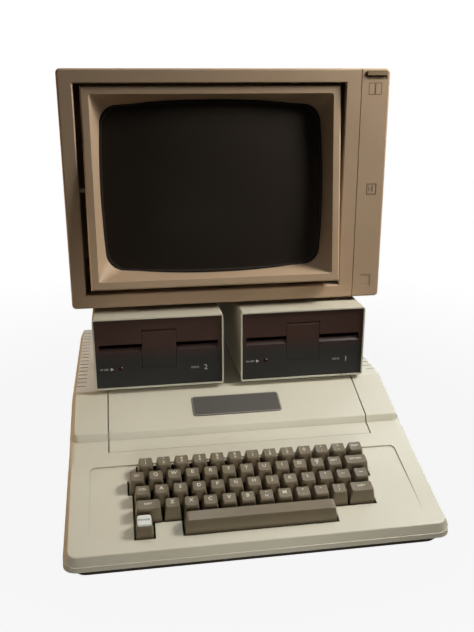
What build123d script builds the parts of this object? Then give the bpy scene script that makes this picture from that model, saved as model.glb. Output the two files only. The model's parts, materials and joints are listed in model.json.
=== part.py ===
# Desktop home computer: a wedge-fronted case with a built-in keyboard, two disk drives standing on its flat
# top, and a monitor standing on the drives.
#
# Millimetres. X runs to the right, Y to the back and Z up from the table. Pieces are laid out from the middle
# of the computer's footprint and are written out moved forward by ORIGIN_Y, which puts the origin under the
# middle of the whole stack.
from build123d import *

import os
from math import acos, atan2, cos, hypot, radians, sin, tan

# Computer case
CASE_W = 387.0
CASE_D = 451.0
CASE_TOP = 108.0
CASE_BASE = 16.0
CASE_WALL = 3.0
CASE_CORNER = 14.0
CASE_DRAFT = 2.0
EDGE_ROUND = 1.5

# Keyboard deck: a plane that climbs from the front lip to the foot of the hood
DECK_SETBACK = 2.6
DECK_FRONT_Z = 31.3
DECK_TILT = 17.1
BEVEL_DROP = 9.0
BEVEL_ANGLE = 27.0
BEVEL_ROOT = 5.0
PLATEAU_W = CASE_W - 10.6
PLATEAU_LENGTH = 124.4
PLATEAU_CORNER = 9.0
VALLEY_W = CASE_W - 3.8
VALLEY_ROUND = 8.0

# Hood: the raised rear part with a step, a slope and a flat top
HOOD_SETBACK = 147.2
STEP_RISE = 8.2
STEP_LEAN = 2.9
SLOPE_ANGLE = 20.9
HOOD_W = CASE_W - 16.0
HOOD_CORNER = 8.0
CREASE_ROUND = 3.0

# Lid
LID_W = CASE_W - 90.0
LID_SEAM = 1.5
LID_HAIRLINE = 0.3
LID_LAP = 16.7
LID_REAR_DROP = 13.0
LID_REAR_BAND = 20.5
LEDGE_W = 8.0
LEDGE_T = 2.0

# Keyboard
KEY_PITCH = 19.05
KEY_GAP = 1.2
KEY_TOP_W = 13.4
KEY_TOP_D = 12.2
KEY_TOP_BACK = 1.2
KEY_SKIRT = -1.5
KEY_RISE = 14.5
KEY_DISH = 0.8
KEY_TRAVEL = 4.0
KEYS_LEFT = -124.2
KEYS_BACK = 109.7
KEY_OPENING_GAP = 1.0
STEM_W = 4.6
STEM_FIT = 0.2
STEM_REACH = 4.0
SWITCH_W = 14.0
SWITCH_TOP = -8.0
SWITCH_H = 11.4
BOARD_T = 1.6
KEYBOARD_BOARD_W = 312.0
KEYBOARD_BOARD_FRONT = 10.0
KEYBOARD_BOARD_BACK = 118.0
POST_R = 4.0
POST_INSET = 6.0
SPACE_UNITS = 8.15
SPACE_LEFT = -76.8
RECESS_W = CASE_W - 49.0
RECESS_FRONT = 17.7
RECESS_BACK = 112.9
RECESS_DEPTH = 1.6
RECESS_CORNER = 6.0

# Each row from the back: its left edge in key widths from KEYS_LEFT, then node, number of keys and key widths
KEY_ROWS = [
    (0.25, [("number_row_keys", 12, 1.0), ("reset_key", 1, 1.0)]),
    (-0.25, [("escape_key", 1, 1.0), ("upper_letter_keys", 10, 1.0), ("repeat_key", 1, 1.0),
             ("return_key", 1, 1.5)]),
    (0.0, [("control_key", 1, 1.0), ("home_letter_keys", 10, 1.0), ("left_arrow_key", 1, 1.0),
           ("right_arrow_key", 1, 1.0)]),
    (0.0, [("shift_key_left", 1, 1.5), ("lower_letter_keys", 10, 1.0), ("shift_key_right", 1, 1.5)]),
]

# Vent slots along both sides of the flat top
VENT_COUNT = 17
VENT_PITCH = 12.2
VENT_W = 1.8
VENT_INNER_X = CASE_W / 2 - 19.0
VENT_OUTER_X = CASE_W / 2 - 8.5
VENT_FIRST = 18.0
VENT_CUT = 10.0

# Nameplate on the slope
PLATE_W = 103.8
PLATE_D = 31.0
PLATE_T = 1.0
PLATE_CORNER = 4.0
PLATE_UP = 31.8

# Base pan, feet and screws
FOOT_H = 6.0
FOOT_R = 9.0
FOOT_INSET_X = 38.0
FOOT_INSET_Y = 34.0
PAN_WALL = 2.5
PAN_INSET = 1.0
PAN_FLARE = 40.0
SCREW_R = 1.5
SCREW_HEAD_R = 3.6
SCREW_HEAD_H = 1.8
SCREW_FIT = 0.1
SCREW_LENGTH = 18.0
BOSS_R = 5.0
BOSS_INSET = 9.0
BOSS_H = 16.0
BOSS_YS = (-150.0, 150.0)
SCREW_SEAT_Z = 12.0

# Inside the computer
MAIN_BOARD = (CASE_W - 145.0, 292.0)
MAIN_BOARD_X = CASE_W / 2 - 141.5
MAIN_BOARD_Y = 40.0
MAIN_BOARD_LIFT = 10.0
STANDOFF_R = 3.5
CHIP = (7.0, 20.0, 4.0)
CHIP_COLUMNS = 9
CHIP_ROWS = 4
CHIP_PITCH = (24.0, 34.0)
SLOT_COUNT = 8
SLOT_PITCH = 23.0
SLOT = (8.0, 92.0, 12.0)
CARD_SLOT = 5
CARD = (1.6, 118.0, 62.0)
CARD_SEAT = 6.0
CARD_FIT = 0.1
SUPPLY = (84.0, 266.0, 62.0)
SUPPLY_CLEAR = 13.5
SUPPLY_LIFT = 8.0
SUPPLY_PANEL = (70.0, 42.0)
PANEL_FIT = 0.5
INLET = (27.0, 20.0, 14.0)
INLET_PIN = (2.0, 10.0, 5.0)
ROCKER_W = 13.4
ROCKER_H = 21.0
ROCKER_DEPTH = 9.0
ROCKER_PROUD = 2.0
ROCKER_THROW = 12.0
ROCKER_PIN_R = 1.5
ROCKER_FIT = 0.3
PIN_FIT = 0.05
SPEAKER_R = 28.0
SPEAKER_H = 18.0
SPEAKER_X = -CASE_W / 2 + 55.5
SPEAKER_SETBACK = 122.0
CABLE_EXIT = (170.0, 24.0)
CABLE_EXIT_X = CASE_W / 2 - 153.5
CABLE_EXIT_Z = 68.0

# Disk drives
DRIVE_W = 151.0
DRIVE_H = 86.5
DRIVE_D = 216.0
DRIVE_FRONT_Y = -19.5
DRIVE_X = (-86.5, 85.5)
DRIVE_WALL = 1.6
DRIVE_CORNER = 3.0
DRIVE_FOOT_H = 4.0
DRIVE_FOOT_R = 5.0
DRIVE_FOOT_X = 57.0
DRIVE_FOOT_INSET = 22.0
STRIP_W = 100.0
STRIP_SLIT = 1.0
FRONT_LIP = 8.0
BEZEL_SET = 1.8
BEZEL_FIT = 0.15
BEZEL_D = 14.0
BEZEL_T = 5.0
BEZEL_WALL = 2.4
DISK_SLOT_W = 138.0
DISK_SLOT_Z = 49.4
DISK_SLOT_H = 5.2
LIP_DROP = 4.4
LIP_DEPTH = 4.0
DOOR_W = 39.6
DOOR_Z = 24.5
DOOR_H = 46.2
DOOR_T = 4.0
DOOR_ROLL_R = 3.6
DOOR_FIT = 0.4
DOOR_PIN_R = 1.5
DOOR_PIN_L = 3.0
DOOR_EAR = 5.0
LAMP_X = -45.2
LAMP_Z = 25.0
LAMP_R = 2.4
LAMP_FIT = 0.1
HUB_BACK = 95.0
HUB_R = 17.0
HUB_DROP = 0.3
SPINDLE_R = 4.0
FLYWHEEL_R = 32.0
FLYWHEEL_H = 8.0
DECK_PLATE_Z = 33.0
DECK_PLATE_T = 4.0
CHASSIS_W = 142.0
CHASSIS_T = 3.0
RAIL_W = 7.0
RAIL_T = 2.2
RAIL_LENGTH = 120.0
MOTOR_X = 46.0
MOTOR_BACK = 180.0
MOTOR_R = 18.0
MOTOR_H = 30.0
MOTOR_SHAFT_R = 2.5
PULLEY_R = 9.0
BELT_T = 1.2
BELT_H = 4.0
BELT_FIT = 0.1
ARM_PIVOT_BACK = 152.0
ARM_PIVOT_Z = 62.0
ARM_W = 44.0
ARM_T = 4.0
ARM_PIN_R = 2.0
CLAMP_R = 14.0
CARRIAGE = (34.0, 20.0, 10.0)
CARRIAGE_BACK = 150.0
CARRIAGE_TRAVEL = 20.0
ROD_R = 2.5
ROD_SPREAD = 12.0
ROD_LIFT = 6.5
ROD_BLOCK = 6.0
DRIVE_BOARD_LENGTH = 130.0

# Monitor
MONITOR_W = 370.8
MONITOR_H = 267.0
MONITOR_X = 1.0
MONITOR_FRONT_Y = 10.3
MONITOR_D = 368.0
MONITOR_FOOT_H = 4.5
MONITOR_FOOT_R = 9.0
MONITOR_FOOT_X = 150.0
MONITOR_FOOT_YS = (40.0, 172.0)
MONITOR_CORNER = 5.0
MONITOR_ROUND = 2.5
MONITOR_WALL = 4.0
FRAME_D = 48.0
FRAME_FACE_T = 12.0
SHELL_INSET = 1.6
SHELL_STRAIGHT = 178.0
SHELL_REAR_W = 286.0
SHELL_REAR_H = 205.0
SHELL_REAR_RISE = 8.0
SCREEN_OPENING_LEFT = 16.8
SCREEN_OPENING_BOTTOM = 16.5
SCREEN_OPENING_H = 235.0
OPENING_BEVEL = 1.2
PANEL_SEAM = 0.8
PANEL_W = 33.2
SCREEN_BORDER_RIGHT = 17.4
SCREEN_OPENING_W = MONITOR_W - PANEL_W - PANEL_SEAM - SCREEN_OPENING_LEFT - SCREEN_BORDER_RIGHT
BUTTON_W = 23.2
BUTTON_H = 8.8
BUTTON_DROP = 7.2
BUTTON_PROUD = 2.0
BUTTON_SCOOP = 2.4
BUTTON_LENGTH = 22.0
BUTTON_TRAVEL = 3.0
BUTTON_FIT = 0.25
BADGE_W = 12.5
BADGE_H = 15.0
BADGE_UP = 20.6
BADGE_DEPTH = 0.6
TOP_VENTS = 15
TOP_VENT = (3.0, 92.0)
TOP_VENT_PITCH = 15.0
REAR_VENTS = 11
REAR_VENT = (4.0, 76.0)
REAR_VENT_PITCH = 15.0
KNOB_R = 9.0
KNOB_L = 12.0
KNOB_SHAFT_R = 3.0
KNOB_STANDOFF = 0.4
KNOB_XS = (-70.0, -36.0)
KNOB_RISE = 22.0

# Screen module, which tilts in the monitor's frame
MODULE_W = SCREEN_OPENING_W - 9.6
MODULE_H = SCREEN_OPENING_H - 9.0
MODULE_TILT = 5.4
MODULE_SHIFT_X = 1.5
MODULE_SHIFT_Z = 3.8
MODULE_PROUD = 5.8
MODULE_DEPTH = 62.0
MODULE_TAPER = 13.0
MODULE_BEVEL = 2.5
PIVOT_BACK = 26.0
PIVOT_PIN_R = 2.6
PIVOT_PIN_BITE = 5.0
PIVOT_EAR = 8.0
REVEAL_W = MODULE_W - 19.4
REVEAL_H = MODULE_H - 19.5
REVEAL_DEPTH = 22.0
GLASS_W = REVEAL_W - 13.6
GLASS_H = REVEAL_H - 13.5
GLASS_CORNER = 21.0
GLASS_BULGE = 4.0
TUBE_LAP = 3.5
TUBE_RIM = 24.0
TUBE_FACE_R = 620.0
TUBE_FIT = 0.3
FUNNEL_LENGTH = 140.0
NECK_R = 14.5
NECK_LENGTH = 78.0
YOKE_R = 44.0
YOKE_LENGTH = 34.0
YOKE_FIT = 0.1
MONITOR_BOARD = (250.0, 170.0)
MONITOR_BOARD_LIFT = 8.0
FLYBACK = (44.0, 40.0, 52.0)

# Places that follow from the sizes above
CASE_FRONT = -CASE_D / 2
CASE_REAR = CASE_D / 2
DECK_Y = CASE_FRONT + DECK_SETBACK
HOOD_Y = CASE_FRONT + HOOD_SETBACK
DECK = Plane(
    origin=(0, DECK_Y, DECK_FRONT_Z),
    x_dir=(1, 0, 0),
    z_dir=(0, -sin(radians(DECK_TILT)), cos(radians(DECK_TILT))),
)
DRIVE_BASE = CASE_TOP + DRIVE_FOOT_H
DRIVE_TOP = DRIVE_BASE + DRIVE_H
MONITOR_BASE = DRIVE_TOP + MONITOR_FOOT_H
MONITOR_TOP = MONITOR_BASE + MONITOR_H
MONITOR_REAR = MONITOR_FRONT_Y + MONITOR_D
STACK_REAR = MONITOR_REAR + KNOB_STANDOFF + KNOB_L
ORIGIN_Y = (CASE_FRONT + STACK_REAR) / 2


def block(x0, x1, y0, y1, z0, z1):
    return Pos((x0 + x1) / 2, (y0 + y1) / 2, (z0 + z1) / 2) * Box(x1 - x0, y1 - y0, z1 - z0)


def side_prism(points, x0, x1):
    """A (Y, Z) outline swept from x0 to x1."""
    face = Plane.YZ * make_face(Polyline(points, close=True))
    return Pos(x0, 0, 0) * extrude(face, x1 - x0, dir=(1, 0, 0))


def front_prism(sketch, x, z, y0, y1):
    """A sketch seen from the front, centred on (x, z) and swept from y0 to y1."""
    return Pos(x, y0, z) * extrude(Plane.XZ * sketch, y1 - y0, dir=(0, 1, 0))


def post(x, y, z0, z1, r):
    return Pos(x, y, (z0 + z1) / 2) * Cylinder(r, z1 - z0)


def pin_x(x0, x1, y, z, r):
    """A round pin along X."""
    return Pos((x0 + x1) / 2, y, z) * Rot(0, 90, 0) * Cylinder(r, x1 - x0)


def pin_y(x, y0, y1, z, r):
    """A round pin along Y."""
    return Pos(x, (y0 + y1) / 2, z) * Rot(90, 0, 0) * Cylinder(r, y1 - y0)


def joined(shapes):
    """All shapes fused into one."""
    first, *rest = shapes
    return first.fuse(*rest) if rest else first


def group(shapes):
    return Compound(children=list(shapes))


def deck_z(y):
    return DECK_FRONT_Z + (y - DECK_Y) * tan(radians(DECK_TILT))


# Computer case


STEP_TOP_Y = HOOD_Y + STEP_LEAN
STEP_TOP_Z = deck_z(HOOD_Y) + STEP_RISE
CREASE_Y = STEP_TOP_Y + (CASE_TOP - STEP_TOP_Z) / tan(radians(SLOPE_ANGLE))
BEVEL_RUN = BEVEL_DROP * tan(radians(BEVEL_ANGLE))
REAR_TOP_Y = CASE_REAR - (CASE_TOP - BEVEL_DROP - CASE_BASE) * tan(radians(CASE_DRAFT)) - BEVEL_RUN


def case_plan(inset):
    """The drafted outer walls, open to the sky."""
    plan = RectangleRounded(CASE_W - 2 * inset, CASE_D - 2 * inset, CASE_CORNER - inset)
    return Pos(0, 0, CASE_BASE - inset) * extrude(plan, CASE_TOP, taper=CASE_DRAFT)


def under(origin, normal, inset):
    """Everything below a plane that is drawn in by inset."""
    reach = 2 * CASE_D
    return Plane(origin=origin, z_dir=normal) * Pos(0, 0, -inset - reach) * Box(2 * reach, 2 * reach, 2 * reach)


def hood(inset, rounded):
    """The raised rear part: step, slope, flat top and bevels along its ends and rear."""
    flare = radians(BEVEL_ANGLE)
    front = [
        (STEP_TOP_Y, STEP_TOP_Z, atan2(STEP_RISE, STEP_LEAN)),
        (CREASE_Y, CASE_TOP, radians(SLOPE_ANGLE)),
        (CREASE_Y, CASE_TOP, 0.0),
    ]
    form = block(-CASE_W, CASE_W, HOOD_Y - DECK_FRONT_Z, CASE_REAR + CASE_WALL, DECK_FRONT_Z, CASE_TOP + 1)
    for y, z, rise in front:
        form &= under((0, y, z), (0, -sin(rise), cos(rise)), inset)
        lean = sin(flare)
        for side in (-1, 1):
            normal = (side * cos(flare), -sin(rise) * lean, cos(rise) * lean)
            form &= under((side * HOOD_W / 2, y, z), normal, inset)
    form &= under((0, REAR_TOP_Y, CASE_TOP), (0, cos(flare), sin(flare)), inset)
    if rounded:
        ends = [e for e in form.edges() if abs(e.center().X) > HOOD_W / 2 - 1 and e.center().Y < STEP_TOP_Y
                and e.bounding_box().size.Z > STEP_RISE]
        form = fillet(ends, HOOD_CORNER)
        creases = form.edges().filter_by(Axis.X).filter_by(lambda e: STEP_TOP_Z - 1 < e.center().Z)
        form = fillet(creases.filter_by(lambda e: e.center().Y < CREASE_Y + 1), CREASE_ROUND)
    return form


def plateau(inset, rounded):
    """The raised keyboard field, with bevelled sides and rounded corners."""
    root = BEVEL_DROP + BEVEL_ROOT
    spread = root * tan(radians(BEVEL_ANGLE))
    width = PLATEAU_W - 2 * inset + 2 * spread
    length = PLATEAU_LENGTH - 2 * inset + 2 * spread
    field = RectangleRounded(width, length, PLATEAU_CORNER - inset / 2 + spread)
    form = extrude(field, root, taper=BEVEL_ANGLE)
    if rounded:
        form = fillet(form.faces().sort_by(Axis.Z)[-1].edges(), EDGE_ROUND)
    return DECK * Pos(0, PLATEAU_LENGTH / 2, -inset - root) * form


def valley(inset):
    """The full-width band between the keyboard field and the hood."""
    length = (HOOD_Y - DECK_Y) / cos(radians(DECK_TILT)) - PLATEAU_LENGTH
    start = PLATEAU_LENGTH - VALLEY_ROUND - inset
    end = PLATEAU_LENGTH + length + BEVEL_DROP + 2 * BEVEL_ROOT + inset
    depth = BEVEL_DROP + BEVEL_ROOT
    form = Box(VALLEY_W - 2 * inset, end - start, depth)
    long_edges = form.edges().filter_by(Axis.Y).filter_by(lambda e: e.center().Z > 0)
    form = fillet(long_edges, VALLEY_ROUND - inset / 2)
    return DECK * Pos(0, (start + end) / 2, -inset - depth / 2) * form


def wedge(inset):
    """What lies under the bevels of the keyboard field."""
    drop = (inset + BEVEL_DROP) / cos(radians(DECK_TILT))
    front = CASE_FRONT - CASE_WALL
    back = HOOD_Y + BEVEL_DROP
    outline = [(front, 0), (front, deck_z(front) - drop), (back, deck_z(back) - drop), (back, 0)]
    return side_prism(outline, -CASE_W, CASE_W)


def case_form(inset, rounded=False):
    """The upper case's outer form, drawn in by inset on every side."""
    rear = block(-CASE_W, CASE_W, HOOD_Y + BEVEL_DROP - 1, CASE_D, 0, DECK_FRONT_Z + 1)
    top = joined([wedge(inset), plateau(inset, rounded), valley(inset), hood(inset, rounded), rear])
    return case_plan(inset) & top


def row_span(row):
    """Left and right edge of a key row."""
    start, keys = KEY_ROWS[row]
    left = KEYS_LEFT + start * KEY_PITCH
    return left, left + KEY_PITCH * sum(count * units for _, count, units in keys)


def row_centre(row):
    """Distance of a row's centre line up the deck from its front edge."""
    return KEYS_BACK - (row + 0.5) * KEY_PITCH


def lamp_x():
    return KEYS_LEFT + KEY_PITCH / 2


def keyboard_opening():
    """The stepped opening that follows the outline of the keys."""
    low = DECK_FRONT_Z
    cells = []
    for row in range(len(KEY_ROWS)):
        left, right = row_span(row)
        cells.append((left, right, row))
    last = len(KEY_ROWS)
    cells.append((lamp_x() - KEY_PITCH / 2, lamp_x() + KEY_PITCH / 2, last))
    cells.append((SPACE_LEFT, SPACE_LEFT + SPACE_UNITS * KEY_PITCH, last))
    gap = KEY_OPENING_GAP
    half = KEY_PITCH / 2 + gap
    holes = [
        block(x0 - gap, x1 + gap, row_centre(row) - half, row_centre(row) + half, -low, low)
        for x0, x1, row in cells
    ]
    return DECK * joined(holes)


def keyboard_recess():
    """A shallow wedge round the keys, deepest at its back edge and fading out to the front."""
    outline = [
        (RECESS_FRONT, 0),
        (RECESS_BACK, -RECESS_DEPTH),
        (RECESS_BACK, CASE_WALL),
        (RECESS_FRONT, CASE_WALL),
    ]
    wedge = side_prism(outline, -RECESS_W / 2, RECESS_W / 2)
    corners = wedge.edges().filter_by(Axis.Z).filter_by(lambda e: e.center().Y > RECESS_BACK - 1)
    return DECK * fillet(corners, RECESS_CORNER)


def lid_space(half_width, front_gap):
    """The space that the lid takes, widened by a seam on request."""
    front = HOOD_Y - LID_LAP - front_gap
    rear_band = CASE_REAR - LID_REAR_BAND
    root = deck_z(front) - LID_LAP
    return joined([
        block(-half_width, half_width, front, rear_band, root, CASE_TOP + CASE_WALL),
        block(-half_width, half_width, rear_band - 1, CASE_REAR + 1,
              CASE_TOP - LID_REAR_DROP - front_gap, CASE_TOP + CASE_WALL),
    ])


def vents():
    """Slots along both sides of the flat top, just reaching the bevels."""
    slots = []
    for side in (-1, 1):
        x0, x1 = sorted((side * VENT_INNER_X, side * VENT_OUTER_X))
        for i in range(VENT_COUNT):
            y = CREASE_Y + VENT_FIRST + i * VENT_PITCH
            slots.append(block(x0, x1, y - VENT_W / 2, y + VENT_W / 2, CASE_TOP - VENT_CUT, CASE_TOP + 1))
    return slots


SUPPLY_X = -CASE_W / 2 + CASE_WALL + SUPPLY_CLEAR + SUPPLY[0] / 2
PAN_FLOOR = FOOT_H + PAN_WALL
SUPPLY_FLOOR = PAN_FLOOR + SUPPLY_LIFT
SUPPLY_Z = SUPPLY_FLOOR + SUPPLY[2] / 2
CASE_REAR_IN = CASE_REAR - CASE_WALL - (SUPPLY_Z - CASE_BASE) * tan(radians(CASE_DRAFT)) - CASE_WALL / 2


def keyboard_posts():
    x = KEYBOARD_BOARD_W / 2 - POST_INSET
    ys = (KEYBOARD_BOARD_FRONT + POST_INSET, KEYBOARD_BOARD_BACK - POST_INSET)
    return [(side * x, y) for side in (-1, 1) for y in ys]


def screw_places():
    """Screws up through the pan's floor into the case's bosses."""
    x = CASE_W / 2 - BOSS_INSET
    return [(side * x, y) for side in (-1, 1) for y in BOSS_YS]


def upper_case():
    inner = case_form(CASE_WALL)
    shell = case_form(0, rounded=True) - inner
    shell -= lid_space(LID_W / 2 + LID_SEAM / 2, LID_HAIRLINE)
    shell -= keyboard_opening()
    shell -= keyboard_recess()
    shell = shell.cut(*vents())
    shell -= front_prism(Rectangle(*SUPPLY_PANEL), SUPPLY_X, SUPPLY_Z, 0, CASE_D)
    exit_hole = RectangleRounded(*CABLE_EXIT, CASE_WALL)
    shell -= front_prism(exit_hole, CABLE_EXIT_X, CABLE_EXIT_Z, 0, CASE_D)

    # Ledges that carry the lid's long edges
    band = inner - case_form(CASE_WALL + LEDGE_T)
    front = HOOD_Y - LID_LAP - LEDGE_W / 2
    for side in (-1, 1):
        middle = side * LID_W / 2
        space = block(middle - LEDGE_W, middle + LEDGE_W / 2, front, CASE_REAR - LID_REAR_BAND,
                      deck_z(front) - LID_LAP, CASE_TOP)
        shell += band & space

    # Posts down to the keyboard's board, and screw bosses against the side walls
    for x, y in keyboard_posts():
        shell += DECK * post(x, y, SWITCH_TOP - SWITCH_H, -CASE_WALL, POST_R)
    for x, y in screw_places():
        boss = post(x, y, CASE_BASE, CASE_BASE + BOSS_H, BOSS_R)
        side = CASE_W / 2 if x > 0 else -CASE_W / 2
        boss += block(min(x, side), max(x, side), y - CASE_WALL / 2, y + CASE_WALL / 2,
                      CASE_BASE, CASE_BASE + BOSS_H)
        bore = post(x, y, CASE_BASE, CASE_BASE + BOSS_H, SCREW_R + SCREW_FIT / 2)
        shell = (shell + (boss & case_form(CASE_WALL / 2))) - bore
    return shell


def top_lid():
    shell = case_form(0, rounded=True) - case_form(CASE_WALL)
    return shell & lid_space(LID_W / 2 - LID_SEAM / 2, 0)


def base_plate():
    """The flared pan that closes the case from below."""
    height = CASE_BASE - FOOT_H
    flare = height * tan(radians(PAN_FLARE))

    def pan(inset, z):
        inset = PAN_INSET + inset
        plan = RectangleRounded(CASE_W - 2 * (inset + flare), CASE_D - 2 * (inset + flare), CASE_CORNER - inset)
        return Pos(0, 0, z) * extrude(plan, height, taper=-PAN_FLARE)

    tray = pan(0, FOOT_H) - pan(PAN_WALL, PAN_FLOOR)
    for x, y in screw_places():
        tray += post(x, y, FOOT_H, CASE_BASE, BOSS_R) & pan(0, FOOT_H)
        tray -= post(x, y, 0, CASE_BASE + 1, SCREW_R + SCREW_FIT)
        tray -= post(x, y, 0, SCREW_SEAT_Z, SCREW_HEAD_R + SCREW_FIT)
    for x, y in board_posts():
        tray += post(x, y, PAN_FLOOR - 1, PAN_FLOOR + MAIN_BOARD_LIFT, STANDOFF_R)
    for x, y in supply_posts():
        tray += post(x, y, PAN_FLOOR - 1, SUPPLY_FLOOR, STANDOFF_R)
    return tray


def rubber_feet():
    x = CASE_W / 2 - FOOT_INSET_X
    y = CASE_D / 2 - FOOT_INSET_Y
    return group(post(sx * x, sy * y, 0, FOOT_H, FOOT_R) for sx in (-1, 1) for sy in (-1, 1))


def case_screws():
    screws = []
    for x, y in screw_places():
        head = post(x, y, SCREW_SEAT_Z - SCREW_HEAD_H, SCREW_SEAT_Z, SCREW_HEAD_R)
        screws.append(head + post(x, y, SCREW_SEAT_Z, SCREW_SEAT_Z + SCREW_LENGTH, SCREW_R))
    return group(screws)


def nameplate():
    """A bare plate lying on the slope."""
    slope = Plane(
        origin=(0, STEP_TOP_Y, STEP_TOP_Z),
        x_dir=(1, 0, 0),
        z_dir=(0, -sin(radians(SLOPE_ANGLE)), cos(radians(SLOPE_ANGLE))),
    )
    plate = extrude(RectangleRounded(PLATE_W, PLATE_D, PLATE_CORNER), PLATE_T)
    plate = chamfer(plate.faces().sort_by(Axis.Z)[-1].edges(), PLATE_T / 3)
    return slope * Pos(0, PLATE_UP, 0) * plate


# Keyboard


def key_cap(width, dished=True):
    """A cap with sloping sides and a hollowed top, on a square stem; its origin is on the deck."""
    base_w = width - KEY_GAP
    base_d = KEY_PITCH - KEY_GAP
    side = (KEY_PITCH - KEY_GAP - KEY_TOP_W)
    skirt = Pos(0, 0, KEY_SKIRT) * Rectangle(base_w, base_d)
    top = Pos(0, KEY_TOP_BACK, KEY_RISE + KEY_DISH / 2) * Rectangle(base_w - side, KEY_TOP_D)
    cap = loft([skirt, top])
    if dished:
        half = (base_w - side) / 2
        radius = (half * half + KEY_DISH * KEY_DISH) / (2 * KEY_DISH)
        cap -= Pos(0, 0, KEY_RISE - KEY_DISH / 2 + radius) * Rot(90, 0, 0) * Cylinder(radius, 3 * KEY_PITCH)
    half = STEM_W / 2
    return cap + block(-half, half, -half, half, SWITCH_TOP - STEM_REACH, KEY_SKIRT + 1)


def key_places():
    """Every key as (node, x, row, width)."""
    places = []
    for row, (_, keys) in enumerate(KEY_ROWS):
        x, _ = row_span(row)
        for node, count, units in keys:
            for _ in range(count):
                places.append((node, x + units * KEY_PITCH / 2, row, units * KEY_PITCH))
                x += units * KEY_PITCH
    width = SPACE_UNITS * KEY_PITCH
    places.append(("space_bar", SPACE_LEFT + width / 2, len(KEY_ROWS), width))
    return places


def keys():
    """Node name to its keys."""
    caps = {}
    nodes = {}
    for node, x, row, width in key_places():
        if width not in caps:
            caps[width] = key_cap(width, dished=node != "space_bar")
        nodes.setdefault(node, []).append(DECK * Pos(x, row_centre(row), 0) * caps[width])
    return {node: group(solids) for node, solids in nodes.items()}


def power_lamp_cap():
    return DECK * Pos(lamp_x(), row_centre(len(KEY_ROWS)), 0) * key_cap(KEY_PITCH, dished=False)


def keyboard_board():
    """A board with one switch housing under every key and a holder under the lamp cap."""
    foot = SWITCH_TOP - SWITCH_H
    board = block(-KEYBOARD_BOARD_W / 2, KEYBOARD_BOARD_W / 2, KEYBOARD_BOARD_FRONT, KEYBOARD_BOARD_BACK,
                  foot - BOARD_T, foot)
    places = [(x, row_centre(row)) for _, x, row, _ in key_places()]
    places.append((lamp_x(), row_centre(len(KEY_ROWS))))
    half = SWITCH_W / 2
    bore = STEM_W / 2 + STEM_FIT
    housings = []
    bores = []
    for x, y in places:
        housings.append(block(x - half, x + half, y - half, y + half, foot, SWITCH_TOP))
        bores.append(block(x - bore, x + bore, y - bore, y + bore, foot + 1, SWITCH_TOP + 1))
    return DECK * board.fuse(*housings).cut(*bores)


# Inside the computer


def board_corners():
    w, d = MAIN_BOARD
    inset = STANDOFF_R + BOARD_T
    xs = (MAIN_BOARD_X - w / 2 + inset, MAIN_BOARD_X + w / 2 - inset)
    ys = (MAIN_BOARD_Y - d / 2 + inset, MAIN_BOARD_Y + d / 2 - inset)
    return [(x, y) for x in xs for y in ys]


def board_posts():
    return board_corners() + [(MAIN_BOARD_X, MAIN_BOARD_Y)]


def supply_posts():
    half = SUPPLY[0] / 2 - SUPPLY_LIFT
    ys = (CASE_REAR_IN - SUPPLY[1] + SUPPLY_LIFT, CASE_REAR_IN - 3 * SUPPLY_LIFT)
    return [(SUPPLY_X + side * half, y) for side in (-1, 1) for y in ys]


BOARD_TOP = PAN_FLOOR + MAIN_BOARD_LIFT + BOARD_T


def main_board():
    w, d = MAIN_BOARD
    return block(MAIN_BOARD_X - w / 2, MAIN_BOARD_X + w / 2, MAIN_BOARD_Y - d / 2, MAIN_BOARD_Y + d / 2,
                 BOARD_TOP - BOARD_T, BOARD_TOP)


def slot_xs():
    start = MAIN_BOARD_X - (SLOT_COUNT - 1) * SLOT_PITCH / 2
    return [start + i * SLOT_PITCH for i in range(SLOT_COUNT)]


SLOT_Y = MAIN_BOARD_Y + MAIN_BOARD[1] / 2 - SLOT[1] / 2 - 12.0


def expansion_slots():
    w, d, h = SLOT
    bodies = []
    for i, x in enumerate(slot_xs()):
        body = block(x - w / 2, x + w / 2, SLOT_Y - d / 2, SLOT_Y + d / 2, BOARD_TOP, BOARD_TOP + h)
        groove = CARD[0] / 2 + CARD_FIT
        body -= block(x - groove, x + groove, SLOT_Y - d / 2 + 3, SLOT_Y + d / 2 - 3,
                      BOARD_TOP + h - CARD_SEAT, BOARD_TOP + h + 1)
        bodies.append(body)
    return group(bodies)


def board_chips():
    w, d, h = CHIP
    front = MAIN_BOARD_Y - MAIN_BOARD[1] / 2 + d
    start = MAIN_BOARD_X - (CHIP_COLUMNS - 1) * CHIP_PITCH[0] / 2
    chips = []
    for row in range(CHIP_ROWS):
        for column in range(CHIP_COLUMNS):
            x = start + column * CHIP_PITCH[0]
            y = front + row * CHIP_PITCH[1]
            chips.append(block(x - w / 2, x + w / 2, y - d / 2, y + d / 2, BOARD_TOP, BOARD_TOP + h))
    return group(chips)


def disk_controller_card():
    """A card standing in one slot, with a tongue in the connector."""
    t, length, height = CARD
    x = slot_xs()[CARD_SLOT]
    seat = BOARD_TOP + SLOT[2]
    tongue = SLOT[1] / 2 - 4
    card = block(x - t / 2, x + t / 2, SLOT_Y - length / 2, SLOT_Y + length / 2, seat, seat + height)
    return card + block(x - t / 2, x + t / 2, SLOT_Y - tongue, SLOT_Y + tongue, seat - CARD_SEAT, seat)


PANEL_FACE_Y = CASE_REAR_IN + CASE_WALL
ROCKER_X = SUPPLY_X + SUPPLY_PANEL[0] / 4
ROCKER_PIVOT_Y = PANEL_FACE_Y - ROCKER_DEPTH / 2
INLET_X = SUPPLY_X - SUPPLY_PANEL[0] / 5


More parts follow.
